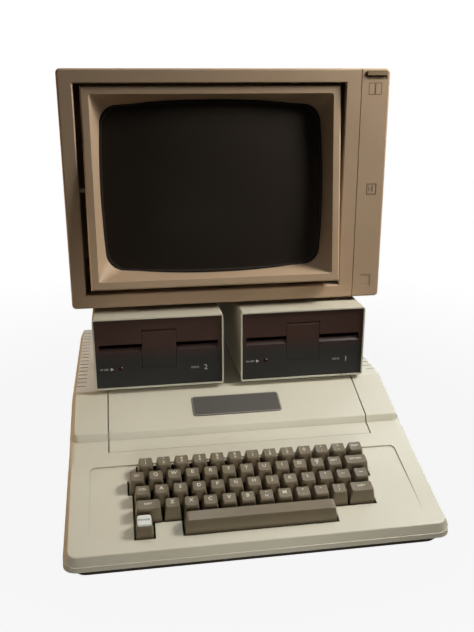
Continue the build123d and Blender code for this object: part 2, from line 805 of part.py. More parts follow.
def power_supply():
    """A metal box whose rear panel fills the window in the case's back."""
    w, d, h = SUPPLY
    box = block(SUPPLY_X - w / 2, SUPPLY_X + w / 2, CASE_REAR_IN - d, CASE_REAR_IN, SUPPLY_FLOOR, SUPPLY_FLOOR + h)
    panel_w, panel_h = (size - 2 * PANEL_FIT for size in SUPPLY_PANEL)
    panel = Rectangle(panel_w, panel_h)
    box += front_prism(panel, SUPPLY_X, SUPPLY_Z, CASE_REAR_IN - 1, PANEL_FACE_Y)
    inlet_w, inlet_h, inlet_d = INLET
    box -= front_prism(Rectangle(inlet_w, inlet_h), INLET_X, SUPPLY_Z, PANEL_FACE_Y - inlet_d, PANEL_FACE_Y + 1)
    pin_w, pin_d, pin_h = INLET_PIN
    for dx, dz in ((-7.0, -2.0), (0.0, 3.0), (7.0, -2.0)):
        blade = Rectangle(pin_w, pin_h)
        box += front_prism(blade, INLET_X + dx, SUPPLY_Z + dz, PANEL_FACE_Y - inlet_d - 1,
                           PANEL_FACE_Y - inlet_d + pin_d)
    well_w = ROCKER_W + 2 * ROCKER_FIT
    well_h = ROCKER_H + 2 * ROCKER_THROW * ROCKER_FIT
    well = Rectangle(well_w, well_h)
    box -= front_prism(well, ROCKER_X, SUPPLY_Z, PANEL_FACE_Y - 2 * ROCKER_DEPTH, PANEL_FACE_Y + 1)
    reach = ROCKER_W / 2 + 3
    box -= pin_x(ROCKER_X - reach, ROCKER_X + reach, ROCKER_PIVOT_Y, SUPPLY_Z, ROCKER_PIN_R + PIN_FIT)
    return box


def power_rocker():
    """A rocker tipped to its off side, on a cross pin."""
    half = ROCKER_H / 2
    tip = ROCKER_DEPTH / 2 + ROCKER_PROUD
    outline = [
        (-ROCKER_DEPTH / 2, -half / 2),
        (-ROCKER_DEPTH / 2, half / 2),
        (tip, half),
        (tip / 2 + ROCKER_PROUD / 2, 0),
        (tip, -half),
    ]
    rocker = side_prism(outline, -ROCKER_W / 2, ROCKER_W / 2)
    reach = ROCKER_W / 2 + 2.5
    rocker += pin_x(-reach, reach, 0, 0, ROCKER_PIN_R)
    return Pos(ROCKER_X, ROCKER_PIVOT_Y, SUPPLY_Z) * Rot(ROCKER_THROW / 2, 0, 0) * rocker


def speaker():
    y = CASE_FRONT + SPEAKER_SETBACK
    magnet_h = SPEAKER_H / 3
    magnet = post(SPEAKER_X, y, PAN_FLOOR + SPEAKER_H - magnet_h, PAN_FLOOR + SPEAKER_H, SPEAKER_R / 2)
    basket = Pos(SPEAKER_X, y, PAN_FLOOR + (SPEAKER_H - magnet_h) / 2) * Cone(
        SPEAKER_R, SPEAKER_R / 2, SPEAKER_H - magnet_h)
    return basket + magnet


# Disk drives, each laid out from the middle of its front bottom edge


BEZEL_Y = BEZEL_SET
BEZEL_W = DRIVE_W - 2 * (DRIVE_WALL + BEZEL_FIT)
BEZEL_H = DRIVE_H - 2 * (DRIVE_WALL + BEZEL_FIT)
DOOR_PIVOT_Y = BEZEL_Y + DOOR_ROLL_R
DOOR_PIVOT_Z = DOOR_Z + DOOR_H - DOOR_ROLL_R
HUB_TOP = DISK_SLOT_Z - HUB_DROP
DECK_PLATE_TOP = DECK_PLATE_Z + DECK_PLATE_T
FLYWHEEL_TOP = DECK_PLATE_Z - 2.0
SIDE_PLATE_TOP = DRIVE_H - 12.0


def drive_cover():
    """A folded sleeve, open along the middle of its underside behind a slit front lip."""
    outer = front_prism(RectangleRounded(DRIVE_W, DRIVE_H, DRIVE_CORNER), 0, DRIVE_H / 2, 0, DRIVE_D)
    inner_w = DRIVE_W - 2 * DRIVE_WALL
    inner_h = DRIVE_H - 2 * DRIVE_WALL
    inner = RectangleRounded(inner_w, inner_h, DRIVE_CORNER - DRIVE_WALL)
    sleeve = outer - front_prism(inner, 0, DRIVE_H / 2, -1, DRIVE_D + 1)
    half = STRIP_W / 2
    sleeve -= block(-half, half, FRONT_LIP, DRIVE_D + 1, -1, DRIVE_WALL + 1)
    for side in (-1, 1):
        x = side * (half - STRIP_SLIT / 2)
        sleeve -= block(x - STRIP_SLIT / 2, x + STRIP_SLIT / 2, -1, FRONT_LIP / 2, -1, DRIVE_WALL + 1)
    return sleeve


def drive_bezel():
    """The moulded face, with the disk slot, a sloping lip under it and the door's window."""
    middle = DRIVE_H / 2
    face = front_prism(RectangleRounded(BEZEL_W, BEZEL_H, DRIVE_CORNER - DRIVE_WALL), 0, middle,
                       BEZEL_Y, BEZEL_Y + BEZEL_D)
    hollow = Rectangle(BEZEL_W - 2 * BEZEL_WALL, BEZEL_H - 2 * BEZEL_WALL)
    face -= front_prism(hollow, 0, middle, BEZEL_Y + BEZEL_T, BEZEL_Y + BEZEL_D + 1)
    half = DISK_SLOT_W / 2
    face -= block(-half, half, 0, BEZEL_D, DISK_SLOT_Z, DISK_SLOT_Z + DISK_SLOT_H)
    lip = [
        (BEZEL_Y - 1, DISK_SLOT_Z - LIP_DROP - LIP_DROP / LIP_DEPTH),
        (BEZEL_Y - 1, DISK_SLOT_Z + 1),
        (BEZEL_Y + LIP_DEPTH, DISK_SLOT_Z + 1),
        (BEZEL_Y + LIP_DEPTH, DISK_SLOT_Z),
    ]
    face -= side_prism(lip, -half, half)

    # Ears behind the face carry the door's pins.
    window = DOOR_W / 2 + DOOR_FIT
    ear_z = DOOR_PIVOT_Z
    for side in (-1, 1):
        x0, x1 = sorted((side * window, side * (window + DOOR_EAR)))
        face += block(x0, x1, BEZEL_Y + BEZEL_T - 1, BEZEL_Y + BEZEL_T + 2 * DOOR_ROLL_R,
                      ear_z - DOOR_ROLL_R, ear_z + DOOR_ROLL_R)
    face -= block(-window, window, 0, BEZEL_D, DOOR_Z - DOOR_FIT, DOOR_Z + DOOR_H + DOOR_FIT)
    bore = window + DOOR_PIN_L + DOOR_FIT
    face -= pin_x(-bore, bore, DOOR_PIVOT_Y, ear_z, DOOR_PIN_R + PIN_FIT)
    face -= pin_y(LAMP_X, 0, BEZEL_D, LAMP_Z, LAMP_R + LAMP_FIT)
    return face


def drive_door():
    """A flap that rolls on a pair of pins along its top edge."""
    plate = block(-DOOR_W / 2, DOOR_W / 2, BEZEL_Y, BEZEL_Y + DOOR_T, DOOR_Z, DOOR_PIVOT_Z)
    roll = pin_x(-DOOR_W / 2, DOOR_W / 2, DOOR_PIVOT_Y, DOOR_PIVOT_Z, DOOR_ROLL_R)
    reach = DOOR_W / 2 + DOOR_FIT + DOOR_PIN_L
    pins = pin_x(-reach, reach, DOOR_PIVOT_Y, DOOR_PIVOT_Z, DOOR_PIN_R)
    return plate + roll + pins


def drive_chassis():
    """Bottom strip, rear plate, side plates with disk rails, deck plate, motor and head rods."""
    strip = STRIP_W / 2 - STRIP_SLIT
    back = DRIVE_D - DRIVE_WALL
    pieces = [block(-strip, strip, FRONT_LIP + STRIP_SLIT, back, 0, DRIVE_WALL)]
    rear = front_prism(RectangleRounded(BEZEL_W, BEZEL_H, DRIVE_CORNER - DRIVE_WALL), 0, DRIVE_H / 2,
                       back - DRIVE_WALL, back)
    pieces.append(rear)
    front = BEZEL_Y + BEZEL_D
    half = CHASSIS_W / 2
    for side in (-1, 1):
        x0, x1 = sorted((side * (half - CHASSIS_T), side * half))
        pieces.append(block(x0, x1, front, back, DRIVE_WALL + BEZEL_FIT, SIDE_PLATE_TOP))
        x0, x1 = sorted((side * (half - CHASSIS_T - RAIL_W), side * half))
        for z in (DISK_SLOT_Z - RAIL_T, DISK_SLOT_Z + DISK_SLOT_H):
            pieces.append(block(x0, x1, front, front + RAIL_LENGTH, z, z + RAIL_T))
    pieces.append(block(-half, half, front, back, DECK_PLATE_Z, DECK_PLATE_TOP))
    pieces.append(post(MOTOR_X, MOTOR_BACK, DECK_PLATE_TOP, DECK_PLATE_TOP + MOTOR_H, MOTOR_R))
    foot = block(-strip, strip, back - 4 * CHASSIS_T, back, 0, DECK_PLATE_Z + 1)
    pieces.append(foot)

    rod_z = DECK_PLATE_TOP + ROD_LIFT
    rod_front = CARRIAGE_BACK - CARRIAGE_TRAVEL - CARRIAGE[1] / 2 - ROD_BLOCK - 1
    rod_back = CARRIAGE_BACK + CARRIAGE[1] / 2 + ROD_BLOCK + 1
    for x in (-ROD_SPREAD, ROD_SPREAD):
        pieces.append(pin_y(x, rod_front, rod_back, rod_z, ROD_R))
    spread = ROD_SPREAD + 2 * ROD_R
    for y in (rod_front, rod_back - ROD_BLOCK):
        pieces.append(block(-spread, spread, y, y + ROD_BLOCK, DECK_PLATE_Z + 1, rod_z + 2 * ROD_R))
    frame = joined(pieces)

    frame -= post(0, HUB_BACK, 0, HUB_TOP + 1, SPINDLE_R + PIN_FIT)
    frame -= post(MOTOR_X, MOTOR_BACK, 0, DECK_PLATE_TOP + MOTOR_H / 2, MOTOR_SHAFT_R + PIN_FIT)
    return frame - pin_x(-half - 1, half + 1, ARM_PIVOT_BACK, ARM_PIVOT_Z, ARM_PIN_R + PIN_FIT)


def spindle():
    """Hub, shaft and belt-driven flywheel, turned as one piece."""
    foot = FLYWHEEL_TOP - FLYWHEEL_H
    groove_z = FLYWHEEL_TOP - FLYWHEEL_H / 2
    turned = post(0, HUB_BACK, foot, FLYWHEEL_TOP, FLYWHEEL_R)
    turned -= post(0, HUB_BACK, groove_z - BELT_H / 2 - BELT_FIT, groove_z + BELT_H / 2 + BELT_FIT,
                   FLYWHEEL_R + 1) - post(0, HUB_BACK, foot, FLYWHEEL_TOP, FLYWHEEL_R - BELT_T)
    turned += post(0, HUB_BACK, foot, HUB_TOP, SPINDLE_R)
    hub = Pos(0, HUB_BACK, HUB_TOP - 4) * Cone(HUB_R - 3, HUB_R, 8)
    return turned + hub


def motor_pulley():
    foot = FLYWHEEL_TOP - FLYWHEEL_H
    groove_z = FLYWHEEL_TOP - FLYWHEEL_H / 2
    wheel = post(MOTOR_X, MOTOR_BACK, foot, FLYWHEEL_TOP, PULLEY_R)
    wheel -= post(MOTOR_X, MOTOR_BACK, groove_z - BELT_H / 2 - BELT_FIT, groove_z + BELT_H / 2 + BELT_FIT,
                  PULLEY_R + 1) - post(MOTOR_X, MOTOR_BACK, foot, FLYWHEEL_TOP, PULLEY_R - BELT_T)
    return wheel + post(MOTOR_X, MOTOR_BACK, foot, DECK_PLATE_TOP + MOTOR_H / 2 - 1, MOTOR_SHAFT_R)


def drive_belt():
    """A flat belt round the flywheel's and the pulley's grooves."""
    big = FLYWHEEL_R - BELT_T + BELT_FIT
    small = PULLEY_R - BELT_T + BELT_FIT
    reach = hypot(MOTOR_X, MOTOR_BACK - HUB_BACK)
    heading = atan2(MOTOR_BACK - HUB_BACK, MOTOR_X)
    lean = acos((big - small) / reach)

    def loop(extra):
        r1, r2 = big + extra, small + extra
        circles = [Pos(0, HUB_BACK) * Circle(r1), Pos(MOTOR_X, MOTOR_BACK) * Circle(r2)]
        corners = []
        for r, cx, cy, signs in ((r1, 0, HUB_BACK, (1, -1)), (r2, MOTOR_X, MOTOR_BACK, (-1, 1))):
            for sign in signs:
                a = heading + sign * lean
                corners.append((cx + r * cos(a), cy + r * sin(a)))
        return circles[0] + circles[1] + make_face(Polyline(corners, close=True))

    ring = loop(BELT_T) - loop(0)
    return Pos(0, 0, FLYWHEEL_TOP - FLYWHEEL_H / 2 - BELT_H / 2) * extrude(ring, BELT_H)


def clamp_arm():
    """The arm that presses a disk onto the hub, on a cross pin in the side plates."""
    half = ARM_W / 2
    arm = block(-half, half, HUB_BACK - CLAMP_R, ARM_PIVOT_BACK, ARM_PIVOT_Z - ARM_T / 2, ARM_PIVOT_Z + ARM_T / 2)
    arm += post(0, HUB_BACK, HUB_TOP + HUB_DROP, ARM_PIVOT_Z, CLAMP_R)
    arm += pin_x(-half, half, ARM_PIVOT_BACK, ARM_PIVOT_Z, 2 * ARM_PIN_R)
    reach = CHASSIS_W / 2
    return arm + pin_x(-reach, reach, ARM_PIVOT_BACK, ARM_PIVOT_Z, ARM_PIN_R)


def head_carriage():
    """The head's sledge, sliding on two rods."""
    w, d, h = CARRIAGE
    rod_z = DECK_PLATE_TOP + ROD_LIFT
    sledge = block(-w / 2, w / 2, CARRIAGE_BACK - d / 2, CARRIAGE_BACK + d / 2, rod_z - h / 2, rod_z + h / 2)
    sledge += post(0, CARRIAGE_BACK, rod_z, rod_z + h / 2 + 1, 3)
    for x in (-ROD_SPREAD, ROD_SPREAD):
        sledge -= pin_y(x, 0, DRIVE_D, rod_z, ROD_R + PIN_FIT)
    return sledge


def drive_lamp():
    lens = pin_y(LAMP_X, BEZEL_Y - 1, BEZEL_Y + BEZEL_T + 2, LAMP_Z, LAMP_R)
    return chamfer(lens.edges().sort_by(Axis.Y)[0], LAMP_R / 3)


def drive_board():
    half = CHASSIS_W / 2
    back = DRIVE_D - 2 * DRIVE_WALL - BEZEL_FIT
    return block(-half, half, back - DRIVE_BOARD_LENGTH, back, SIDE_PLATE_TOP, SIDE_PLATE_TOP + BOARD_T)


def drive_feet():
    ys = (DRIVE_FOOT_INSET, DRIVE_D - DRIVE_FOOT_INSET)
    return [post(x, y, -DRIVE_FOOT_H, 0, DRIVE_FOOT_R) for x in (-DRIVE_FOOT_X, DRIVE_FOOT_X) for y in ys]


# Monitor


PANEL_LEFT = MONITOR_X + MONITOR_W / 2 - PANEL_W
FRAME_REAR = MONITOR_FRONT_Y + FRAME_D
MONITOR_MID_Z = MONITOR_BASE + MONITOR_H / 2
OPENING_X = MONITOR_X - MONITOR_W / 2 + SCREEN_OPENING_LEFT + SCREEN_OPENING_W / 2
OPENING_Z = MONITOR_BASE + SCREEN_OPENING_BOTTOM + SCREEN_OPENING_H / 2


def monitor_front():
    """The whole front housing before it's parted into frame and control panel."""
    outline = RectangleRounded(MONITOR_W, MONITOR_H, MONITOR_CORNER)
    form = front_prism(outline, MONITOR_X, MONITOR_MID_Z, MONITOR_FRONT_Y, FRAME_REAR)
    return fillet(form.faces().sort_by(Axis.Y)[0].edges(), MONITOR_ROUND)


def monitor_frame():
    front = monitor_front()
    frame = front - block(PANEL_LEFT - PANEL_SEAM, CASE_W, 0, FRAME_REAR + 1, 0, MONITOR_TOP + 1)
    inner_left = MONITOR_X - MONITOR_W / 2 + MONITOR_WALL
    frame -= block(inner_left, PANEL_LEFT - PANEL_SEAM - MONITOR_WALL, MONITOR_FRONT_Y + FRAME_FACE_T,
                   FRAME_REAR + 1, MONITOR_BASE + MONITOR_WALL, MONITOR_TOP - MONITOR_WALL)
    window = Rectangle(SCREEN_OPENING_W, SCREEN_OPENING_H)
    frame -= front_prism(window, OPENING_X, OPENING_Z, 0, FRAME_REAR + 1)
    wide = Rectangle(SCREEN_OPENING_W + 2 * OPENING_BEVEL, SCREEN_OPENING_H + 2 * OPENING_BEVEL)
    bevel = loft([
        Pos(OPENING_X, MONITOR_FRONT_Y, OPENING_Z) * (Plane.XZ * wide),
        Pos(OPENING_X, MONITOR_FRONT_Y + OPENING_BEVEL, OPENING_Z) * (Plane.XZ * window),
    ])
    frame -= bevel

    # Ears behind the face carry the screen module's pins.
    pivot = module_pivot()
    root = MONITOR_FRONT_Y + FRAME_FACE_T - 1
    half = SCREEN_OPENING_W / 2
    for side in (-1, 1):
        x0, x1 = sorted((OPENING_X + side * half, OPENING_X + side * (half + PIVOT_EAR)))
        frame += block(x0, x1, root, pivot.Y + 2 * PIVOT_PIN_R, pivot.Z - PIVOT_EAR, pivot.Z + PIVOT_EAR)
    reach = half + PIVOT_PIN_BITE + 1
    return frame - pin_x(OPENING_X - reach, OPENING_X + reach, pivot.Y, pivot.Z, PIVOT_PIN_R + PIN_FIT)


BUTTON_X = PANEL_LEFT + PANEL_W / 2 + 0.8
BUTTON_Z = MONITOR_TOP - BUTTON_DROP


def monitor_panel():
    """The control strip on the right, with the power button's bore and a bare badge recess."""
    panel = monitor_front() & block(PANEL_LEFT, CASE_W, 0, FRAME_REAR + 1, 0, MONITOR_TOP + 1)
    right = MONITOR_X + MONITOR_W / 2 - MONITOR_WALL
    panel -= block(PANEL_LEFT + MONITOR_WALL, right, MONITOR_FRONT_Y + FRAME_FACE_T, FRAME_REAR + 1,
                   MONITOR_BASE + MONITOR_WALL, MONITOR_TOP - MONITOR_WALL / 2)
    bore = Rectangle(BUTTON_W + 2 * BUTTON_FIT, BUTTON_H + 2 * BUTTON_FIT)
    panel -= front_prism(bore, BUTTON_X, BUTTON_Z, 0, FRAME_REAR)
    badge = Rectangle(BADGE_W, BADGE_H)
    return panel - front_prism(badge, PANEL_LEFT + PANEL_W / 2 - 1, MONITOR_BASE + BADGE_UP, 0,
                               MONITOR_FRONT_Y + BADGE_DEPTH)


def power_button():
    """A push button whose lower half is scooped back."""
    y0 = MONITOR_FRONT_Y - BUTTON_PROUD
    y1 = y0 + BUTTON_LENGTH
    top = BUTTON_Z + BUTTON_H / 2
    foot = BUTTON_Z - BUTTON_H / 2
    scoop = y0 + BUTTON_SCOOP
    outline = [(y0, top), (y0, BUTTON_Z), (scoop, BUTTON_Z - BUTTON_SCOOP / 2), (scoop, foot), (y1, foot), (y1, top)]
    return side_prism(outline, BUTTON_X - BUTTON_W / 2, BUTTON_X + BUTTON_W / 2)


def shell_form(inset):
    """Straight part and tapering rear of the monitor's shell, drawn in by inset."""
    lap = SHELL_INSET + inset
    w = MONITOR_W - 2 * lap
    h = MONITOR_H - 2 * lap
    corner = MONITOR_CORNER - SHELL_INSET - inset / 4
    waist = FRAME_REAR + SHELL_STRAIGHT
    straight = front_prism(RectangleRounded(w, h, corner), MONITOR_X, MONITOR_MID_Z, FRAME_REAR - inset, waist)
    rear_w = SHELL_REAR_W - 2 * inset
    rear_h = SHELL_REAR_H - 2 * inset
    rear_z = MONITOR_BASE + SHELL_REAR_RISE + SHELL_REAR_H / 2
    tail = loft([
        Pos(MONITOR_X, waist, MONITOR_MID_Z) * (Plane.XZ * RectangleRounded(w, h, corner)),
        Pos(MONITOR_X, MONITOR_REAR - inset, rear_z) * (Plane.XZ * RectangleRounded(rear_w, rear_h, corner)),
    ])
    return straight + tail


def monitor_shell():
    shell = shell_form(0) - shell_form(MONITOR_WALL)
    top_z = MONITOR_TOP - MONITOR_WALL - SHELL_INSET - 1
    slots = []
    for i in range(TOP_VENTS):
        x = MONITOR_X + (i - (TOP_VENTS - 1) / 2) * TOP_VENT_PITCH
        y = FRAME_REAR + SHELL_STRAIGHT - TOP_VENT[1] / 2 - 12
        slots.append(block(x - TOP_VENT[0] / 2, x + TOP_VENT[0] / 2, y - TOP_VENT[1] / 2, y + TOP_VENT[1] / 2,
                           top_z, MONITOR_TOP + 1))
    rear_z = MONITOR_BASE + SHELL_REAR_RISE + SHELL_REAR_H - REAR_VENT[1] / 2 - 20
    for i in range(REAR_VENTS):
        x = MONITOR_X + (i - (REAR_VENTS - 1) / 2) * REAR_VENT_PITCH
        slots.append(front_prism(Rectangle(*REAR_VENT), x, rear_z, MONITOR_REAR - 2 * MONITOR_WALL,
                                 MONITOR_REAR + 1))
    knob_z = MONITOR_BASE + SHELL_REAR_RISE + KNOB_RISE
    for x in KNOB_XS:
        slots.append(pin_y(x, MONITOR_REAR - 2 * MONITOR_WALL, MONITOR_REAR + 1, knob_z, KNOB_SHAFT_R + PIN_FIT))
    shell = shell.cut(*slots)

    # A sunk mains inlet with its three blades
    inlet_w, inlet_h, inlet_d = INLET
    x = MONITOR_X - KNOB_XS[0]
    cup = Rectangle(inlet_w + 2 * MONITOR_WALL, inlet_h + 2 * MONITOR_WALL)
    shell += front_prism(cup, x, knob_z, MONITOR_REAR - inlet_d - MONITOR_WALL, MONITOR_REAR - 1)
    shell -= front_prism(Rectangle(inlet_w, inlet_h), x, knob_z, MONITOR_REAR - inlet_d, MONITOR_REAR + 1)
    pin_w, pin_d, pin_h = INLET_PIN
    for dx, dz in ((-7.0, -2.0), (0.0, 3.0), (7.0, -2.0)):
        shell += front_prism(Rectangle(pin_w, pin_h), x + dx, knob_z + dz, MONITOR_REAR - inlet_d - 1,
                             MONITOR_REAR - inlet_d + pin_d)
    return shell


def rear_knob(x):
    """A ribbed control knob on a shaft through the shell's back."""
    z = MONITOR_BASE + SHELL_REAR_RISE + KNOB_RISE
    y0 = MONITOR_REAR + KNOB_STANDOFF
    knob = pin_y(x, y0, y0 + KNOB_L, z, KNOB_R)
    ribs = []
    count = 12
    for i in range(count):
        a = radians(360 * i / count)
        ribs.append(pin_y(x + KNOB_R * cos(a), y0 + KNOB_L / 4, y0 + KNOB_L + 1, z + KNOB_R * sin(a), 1.0))
    knob = knob.cut(*ribs)
    return knob + pin_y(x, MONITOR_REAR - 3 * MONITOR_WALL, y0 + 1, z, KNOB_SHAFT_R)


def monitor_feet():
    return group(
        post(MONITOR_X + side * MONITOR_FOOT_X, y, DRIVE_TOP, MONITOR_BASE + SHELL_INSET * (y > FRAME_REAR),
             MONITOR_FOOT_R)
        for side in (-1, 1)
        for y in MONITOR_FOOT_YS
    )


# Screen module, laid out on the plane of its face: X right, Y up the face, Z out of it


TUBE_SEAT = -REVEAL_DEPTH
TUBE_ROOT = TUBE_SEAT - TUBE_RIM
NECK_ROOT = TUBE_ROOT - FUNNEL_LENGTH
TUBE_SAG = GLASS_W * GLASS_W / (8 * TUBE_FACE_R)


def module_plane():
    tilt = radians(MODULE_TILT)
    return Plane(
        origin=(OPENING_X + MODULE_SHIFT_X, MONITOR_FRONT_Y - MODULE_PROUD, OPENING_Z + MODULE_SHIFT_Z),
        x_dir=(1, 0, 0),
        z_dir=(0, -cos(tilt), sin(tilt)),
    )


def module_pivot():
    """The tilt axis, behind the middle of the module's face."""
    return module_plane().from_local_coords(Vector(0, 0, -PIVOT_BACK))


def glass_outline(grow):
    """The tube face's outline, with bowed sides and round corners."""
    w = GLASS_W / 2 + grow
    h = GLASS_H / 2 + grow
    r = GLASS_CORNER + grow
    b = GLASS_BULGE
    corners = [(w - b, h - b), (-w + b, h - b), (-w + b, -h + b), (w - b, -h + b)]
    middles = [(0, h), (-w, 0), (0, -h), (w, 0)]
    sides = [
        ThreePointArc(corners[i], middles[i], corners[(i + 1) % 4])
        for i in range(4)
    ]
    face = make_face(sides)
    return fillet(face.vertices(), r)


def face_ball(grow):
    """The sphere that the tube's face is part of."""
    return Pos(0, 0, TUBE_SEAT + TUBE_SAG - TUBE_FACE_R) * Sphere(TUBE_FACE_R + grow)


def screen_bezel():
    """The tilting surround: a bevelled face, a reveal that slopes in to the tube, and side pins."""
    back_w = MODULE_W - 2 * MODULE_DEPTH * tan(radians(MODULE_TAPER))
    back_h = MODULE_H - 2 * MODULE_DEPTH * tan(radians(MODULE_TAPER))
    body = loft([Rectangle(MODULE_W, MODULE_H), Pos(0, 0, -MODULE_DEPTH) * Rectangle(back_w, back_h)])
    body = chamfer(body.faces().sort_by(Axis.Z)[-1].edges(), MODULE_BEVEL)
    body -= loft([RectangleRounded(REVEAL_W, REVEAL_H, 3), Pos(0, 0, TUBE_SEAT) * glass_outline(0)])
    body -= Pos(0, 0, TUBE_SEAT - TUBE_SAG) * extrude(glass_outline(0), TUBE_SAG + 0.1)
    pocket = Pos(0, 0, -MODULE_DEPTH - 1) * extrude(glass_outline(TUBE_LAP + TUBE_FIT), MODULE_DEPTH)
    body -= pocket & face_ball(TUBE_FIT)
    module = module_plane() * body
    pivot = module_pivot()
    root = MODULE_W / 2 - PIVOT_BACK * tan(radians(MODULE_TAPER)) - PIVOT_PIN_BITE
    for side in (-1, 1):
        x0 = OPENING_X + MODULE_SHIFT_X + side * root
        x1 = OPENING_X + side * (SCREEN_OPENING_W / 2 + PIVOT_PIN_BITE)
        module += pin_x(min(x0, x1), max(x0, x1), pivot.Y, pivot.Z, PIVOT_PIN_R)
    return module


def picture_tube():
    """Curved faceplate, funnel and neck."""
    outline = glass_outline(TUBE_LAP)
    rim = Pos(0, 0, TUBE_ROOT) * extrude(outline, TUBE_SEAT + TUBE_SAG - TUBE_ROOT)
    mouth = RectangleRounded(GLASS_W, GLASS_H, GLASS_CORNER)
    throat = RectangleRounded(2 * NECK_R, 2 * NECK_R, NECK_R - 1)
    funnel = loft([Pos(0, 0, TUBE_ROOT) * mouth, Pos(0, 0, NECK_ROOT) * throat], ruled=True)
    neck = Pos(0, 0, NECK_ROOT - NECK_LENGTH / 2) * Cylinder(NECK_R, NECK_LENGTH)
    return module_plane() * joined([rim & face_ball(0), funnel, neck])


def deflection_yoke():
    ring = Cylinder(YOKE_R, YOKE_LENGTH) - Cylinder(NECK_R + YOKE_FIT, YOKE_LENGTH)
    flange = Pos(0, 0, YOKE_LENGTH / 2) * (Cylinder(YOKE_R * 0.7, 6) - Cylinder(NECK_R + YOKE_FIT, 6))
    return module_plane() * Pos(0, 0, NECK_ROOT - YOKE_LENGTH / 2 - 5) * (ring + flange)


def monitor_board():
    """The deflection board with its line transformer and a smoothing capacitor."""
    w, d = MONITOR_BOARD
    floor = MONITOR_BASE + SHELL_INSET + MONITOR_WALL
    z = floor + MONITOR_BOARD_LIFT
    y0 = FRAME_REAR + 8
    board = block(MONITOR_X - w / 2, MONITOR_X + w / 2, y0, y0 + d, z, z + BOARD_T)
    fw, fd, fh = FLYBACK
    board += block(w / 2 - fw - 10, w / 2 - 10, y0 + d - fd - 10, y0 + d - 10, z, z + BOARD_T + fh)
    board += post(-w / 2 + 30, y0 + d - 30, z, z + BOARD_T + fh * 0.7, 14)
    for sx in (-1, 1):
        for y in (y0 + 10, y0 + d - 10):
            board += post(MONITOR_X + sx * (w / 2 - 10), y, floor, z, 4)
    return board


def parts():
    nodes = {
        "upper_case": upper_case(),
        "top_lid": top_lid(),
        "base_plate": base_plate(),
        "rubber_feet": rubber_feet(),
        "case_screws": case_screws(),
        "nameplate": nameplate(),
        "power_lamp_cap": power_lamp_cap(),
        "keyboard_board": keyboard_board(),
        "main_board": main_board(),
        "board_chips": board_chips(),
        "expansion_slots": expansion_slots(),
        "disk_controller_card": disk_controller_card(),
        "power_supply": power_supply(),
        "power_rocker": power_rocker(),
        "speaker": speaker(),
        "monitor_frame": monitor_frame(),
        "monitor_panel": monitor_panel(),
        "power_button": power_button(),
        "monitor_shell": monitor_shell(),
        "monitor_feet": monitor_feet(),
        "monitor_board": monitor_board(),
        "screen_bezel": screen_bezel(),
        "picture_tube": picture_tube(),
        "deflection_yoke": deflection_yoke(),
        "brightness_knob": rear_knob(KNOB_XS[0]),
        "contrast_knob": rear_knob(KNOB_XS[1]),
    }
    nodes.update(keys())

    singles = {
        "cover": drive_cover(),
        "bezel": drive_bezel(),
        "door": drive_door(),
        "chassis": drive_chassis(),
        "spindle": spindle(),
        "motor_pulley": motor_pulley(),
        "clamp_arm": clamp_arm(),
        "head_carriage": head_carriage(),
    }
    spots = [Pos(x, DRIVE_FRONT_Y, DRIVE_BASE) for x in DRIVE_X]
    for side, spot in zip(("left", "right"), spots):
        for name, shape in singles.items():
            nodes[f"{side}_drive_{name}"] = spot * shape
    nodes["drive_lamps"] = group(spot * drive_lamp() for spot in spots)
    nodes["drive_belts"] = group(spot * drive_belt() for spot in spots)
    nodes["drive_boards"] = group(spot * drive_board() for spot in spots)
    nodes["drive_feet"] = group(spot * foot for spot in spots for foot in drive_feet())
    return nodes


os.makedirs("parts", exist_ok=True)
for name, shape in parts().items():
    export_step(Pos(0, -ORIGIN_Y, 0) * shape, f"parts/{name}.step")
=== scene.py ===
"""Looks of a home computer with a keyboard, two disk drives and a monitor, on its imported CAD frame."""

import json
import math

import bmesh
import bpy
from mathutils import Matrix, Vector


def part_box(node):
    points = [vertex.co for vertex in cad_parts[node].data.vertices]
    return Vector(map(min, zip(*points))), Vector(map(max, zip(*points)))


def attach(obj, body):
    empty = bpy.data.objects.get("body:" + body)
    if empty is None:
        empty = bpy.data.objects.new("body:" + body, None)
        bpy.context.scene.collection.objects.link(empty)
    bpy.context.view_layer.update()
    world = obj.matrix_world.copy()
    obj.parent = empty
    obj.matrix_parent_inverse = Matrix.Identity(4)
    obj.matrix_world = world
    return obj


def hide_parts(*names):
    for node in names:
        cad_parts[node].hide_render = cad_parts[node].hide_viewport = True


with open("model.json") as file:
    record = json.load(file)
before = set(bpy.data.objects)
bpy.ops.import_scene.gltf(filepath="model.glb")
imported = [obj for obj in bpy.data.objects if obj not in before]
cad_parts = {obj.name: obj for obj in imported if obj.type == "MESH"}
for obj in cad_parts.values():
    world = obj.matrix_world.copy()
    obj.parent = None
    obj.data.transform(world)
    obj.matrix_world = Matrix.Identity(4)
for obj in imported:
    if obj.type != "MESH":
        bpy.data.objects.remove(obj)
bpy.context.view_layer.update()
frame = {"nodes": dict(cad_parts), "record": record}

# Layout millimetres are measured from the middle of the computer's footprint; the frame's origin lies
# further back, so everything is set out from the front of the upper case.
MM = 0.001
CASE_FRONT = -225.5
SHIFT_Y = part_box("upper_case")[0][1] - CASE_FRONT * MM

DECK_Y = -222.9
DECK_Z = 31.3
DECK_TILT = math.radians(17.1)
SLOPE_TILT = math.radians(20.9)
KEY_PITCH = 19.05
KEYS_LEFT = -124.2
KEYS_BACK = 109.7
SPACE_LEFT = -76.8
SPACE_UNITS = 8.15

MONITOR_FRONT_Y = 10.3
MODULE_TILT = math.radians(5.4)
DRIVE_X = {"left": -86.5, "right": 85.5}
DRIVE_FRONT_Y = -19.5
DRIVE_BASE = 112.0


def P(x, y, z):
    """Layout millimetres to the frame's metres."""
    return Vector((x * MM, y * MM + SHIFT_Y, z * MM))


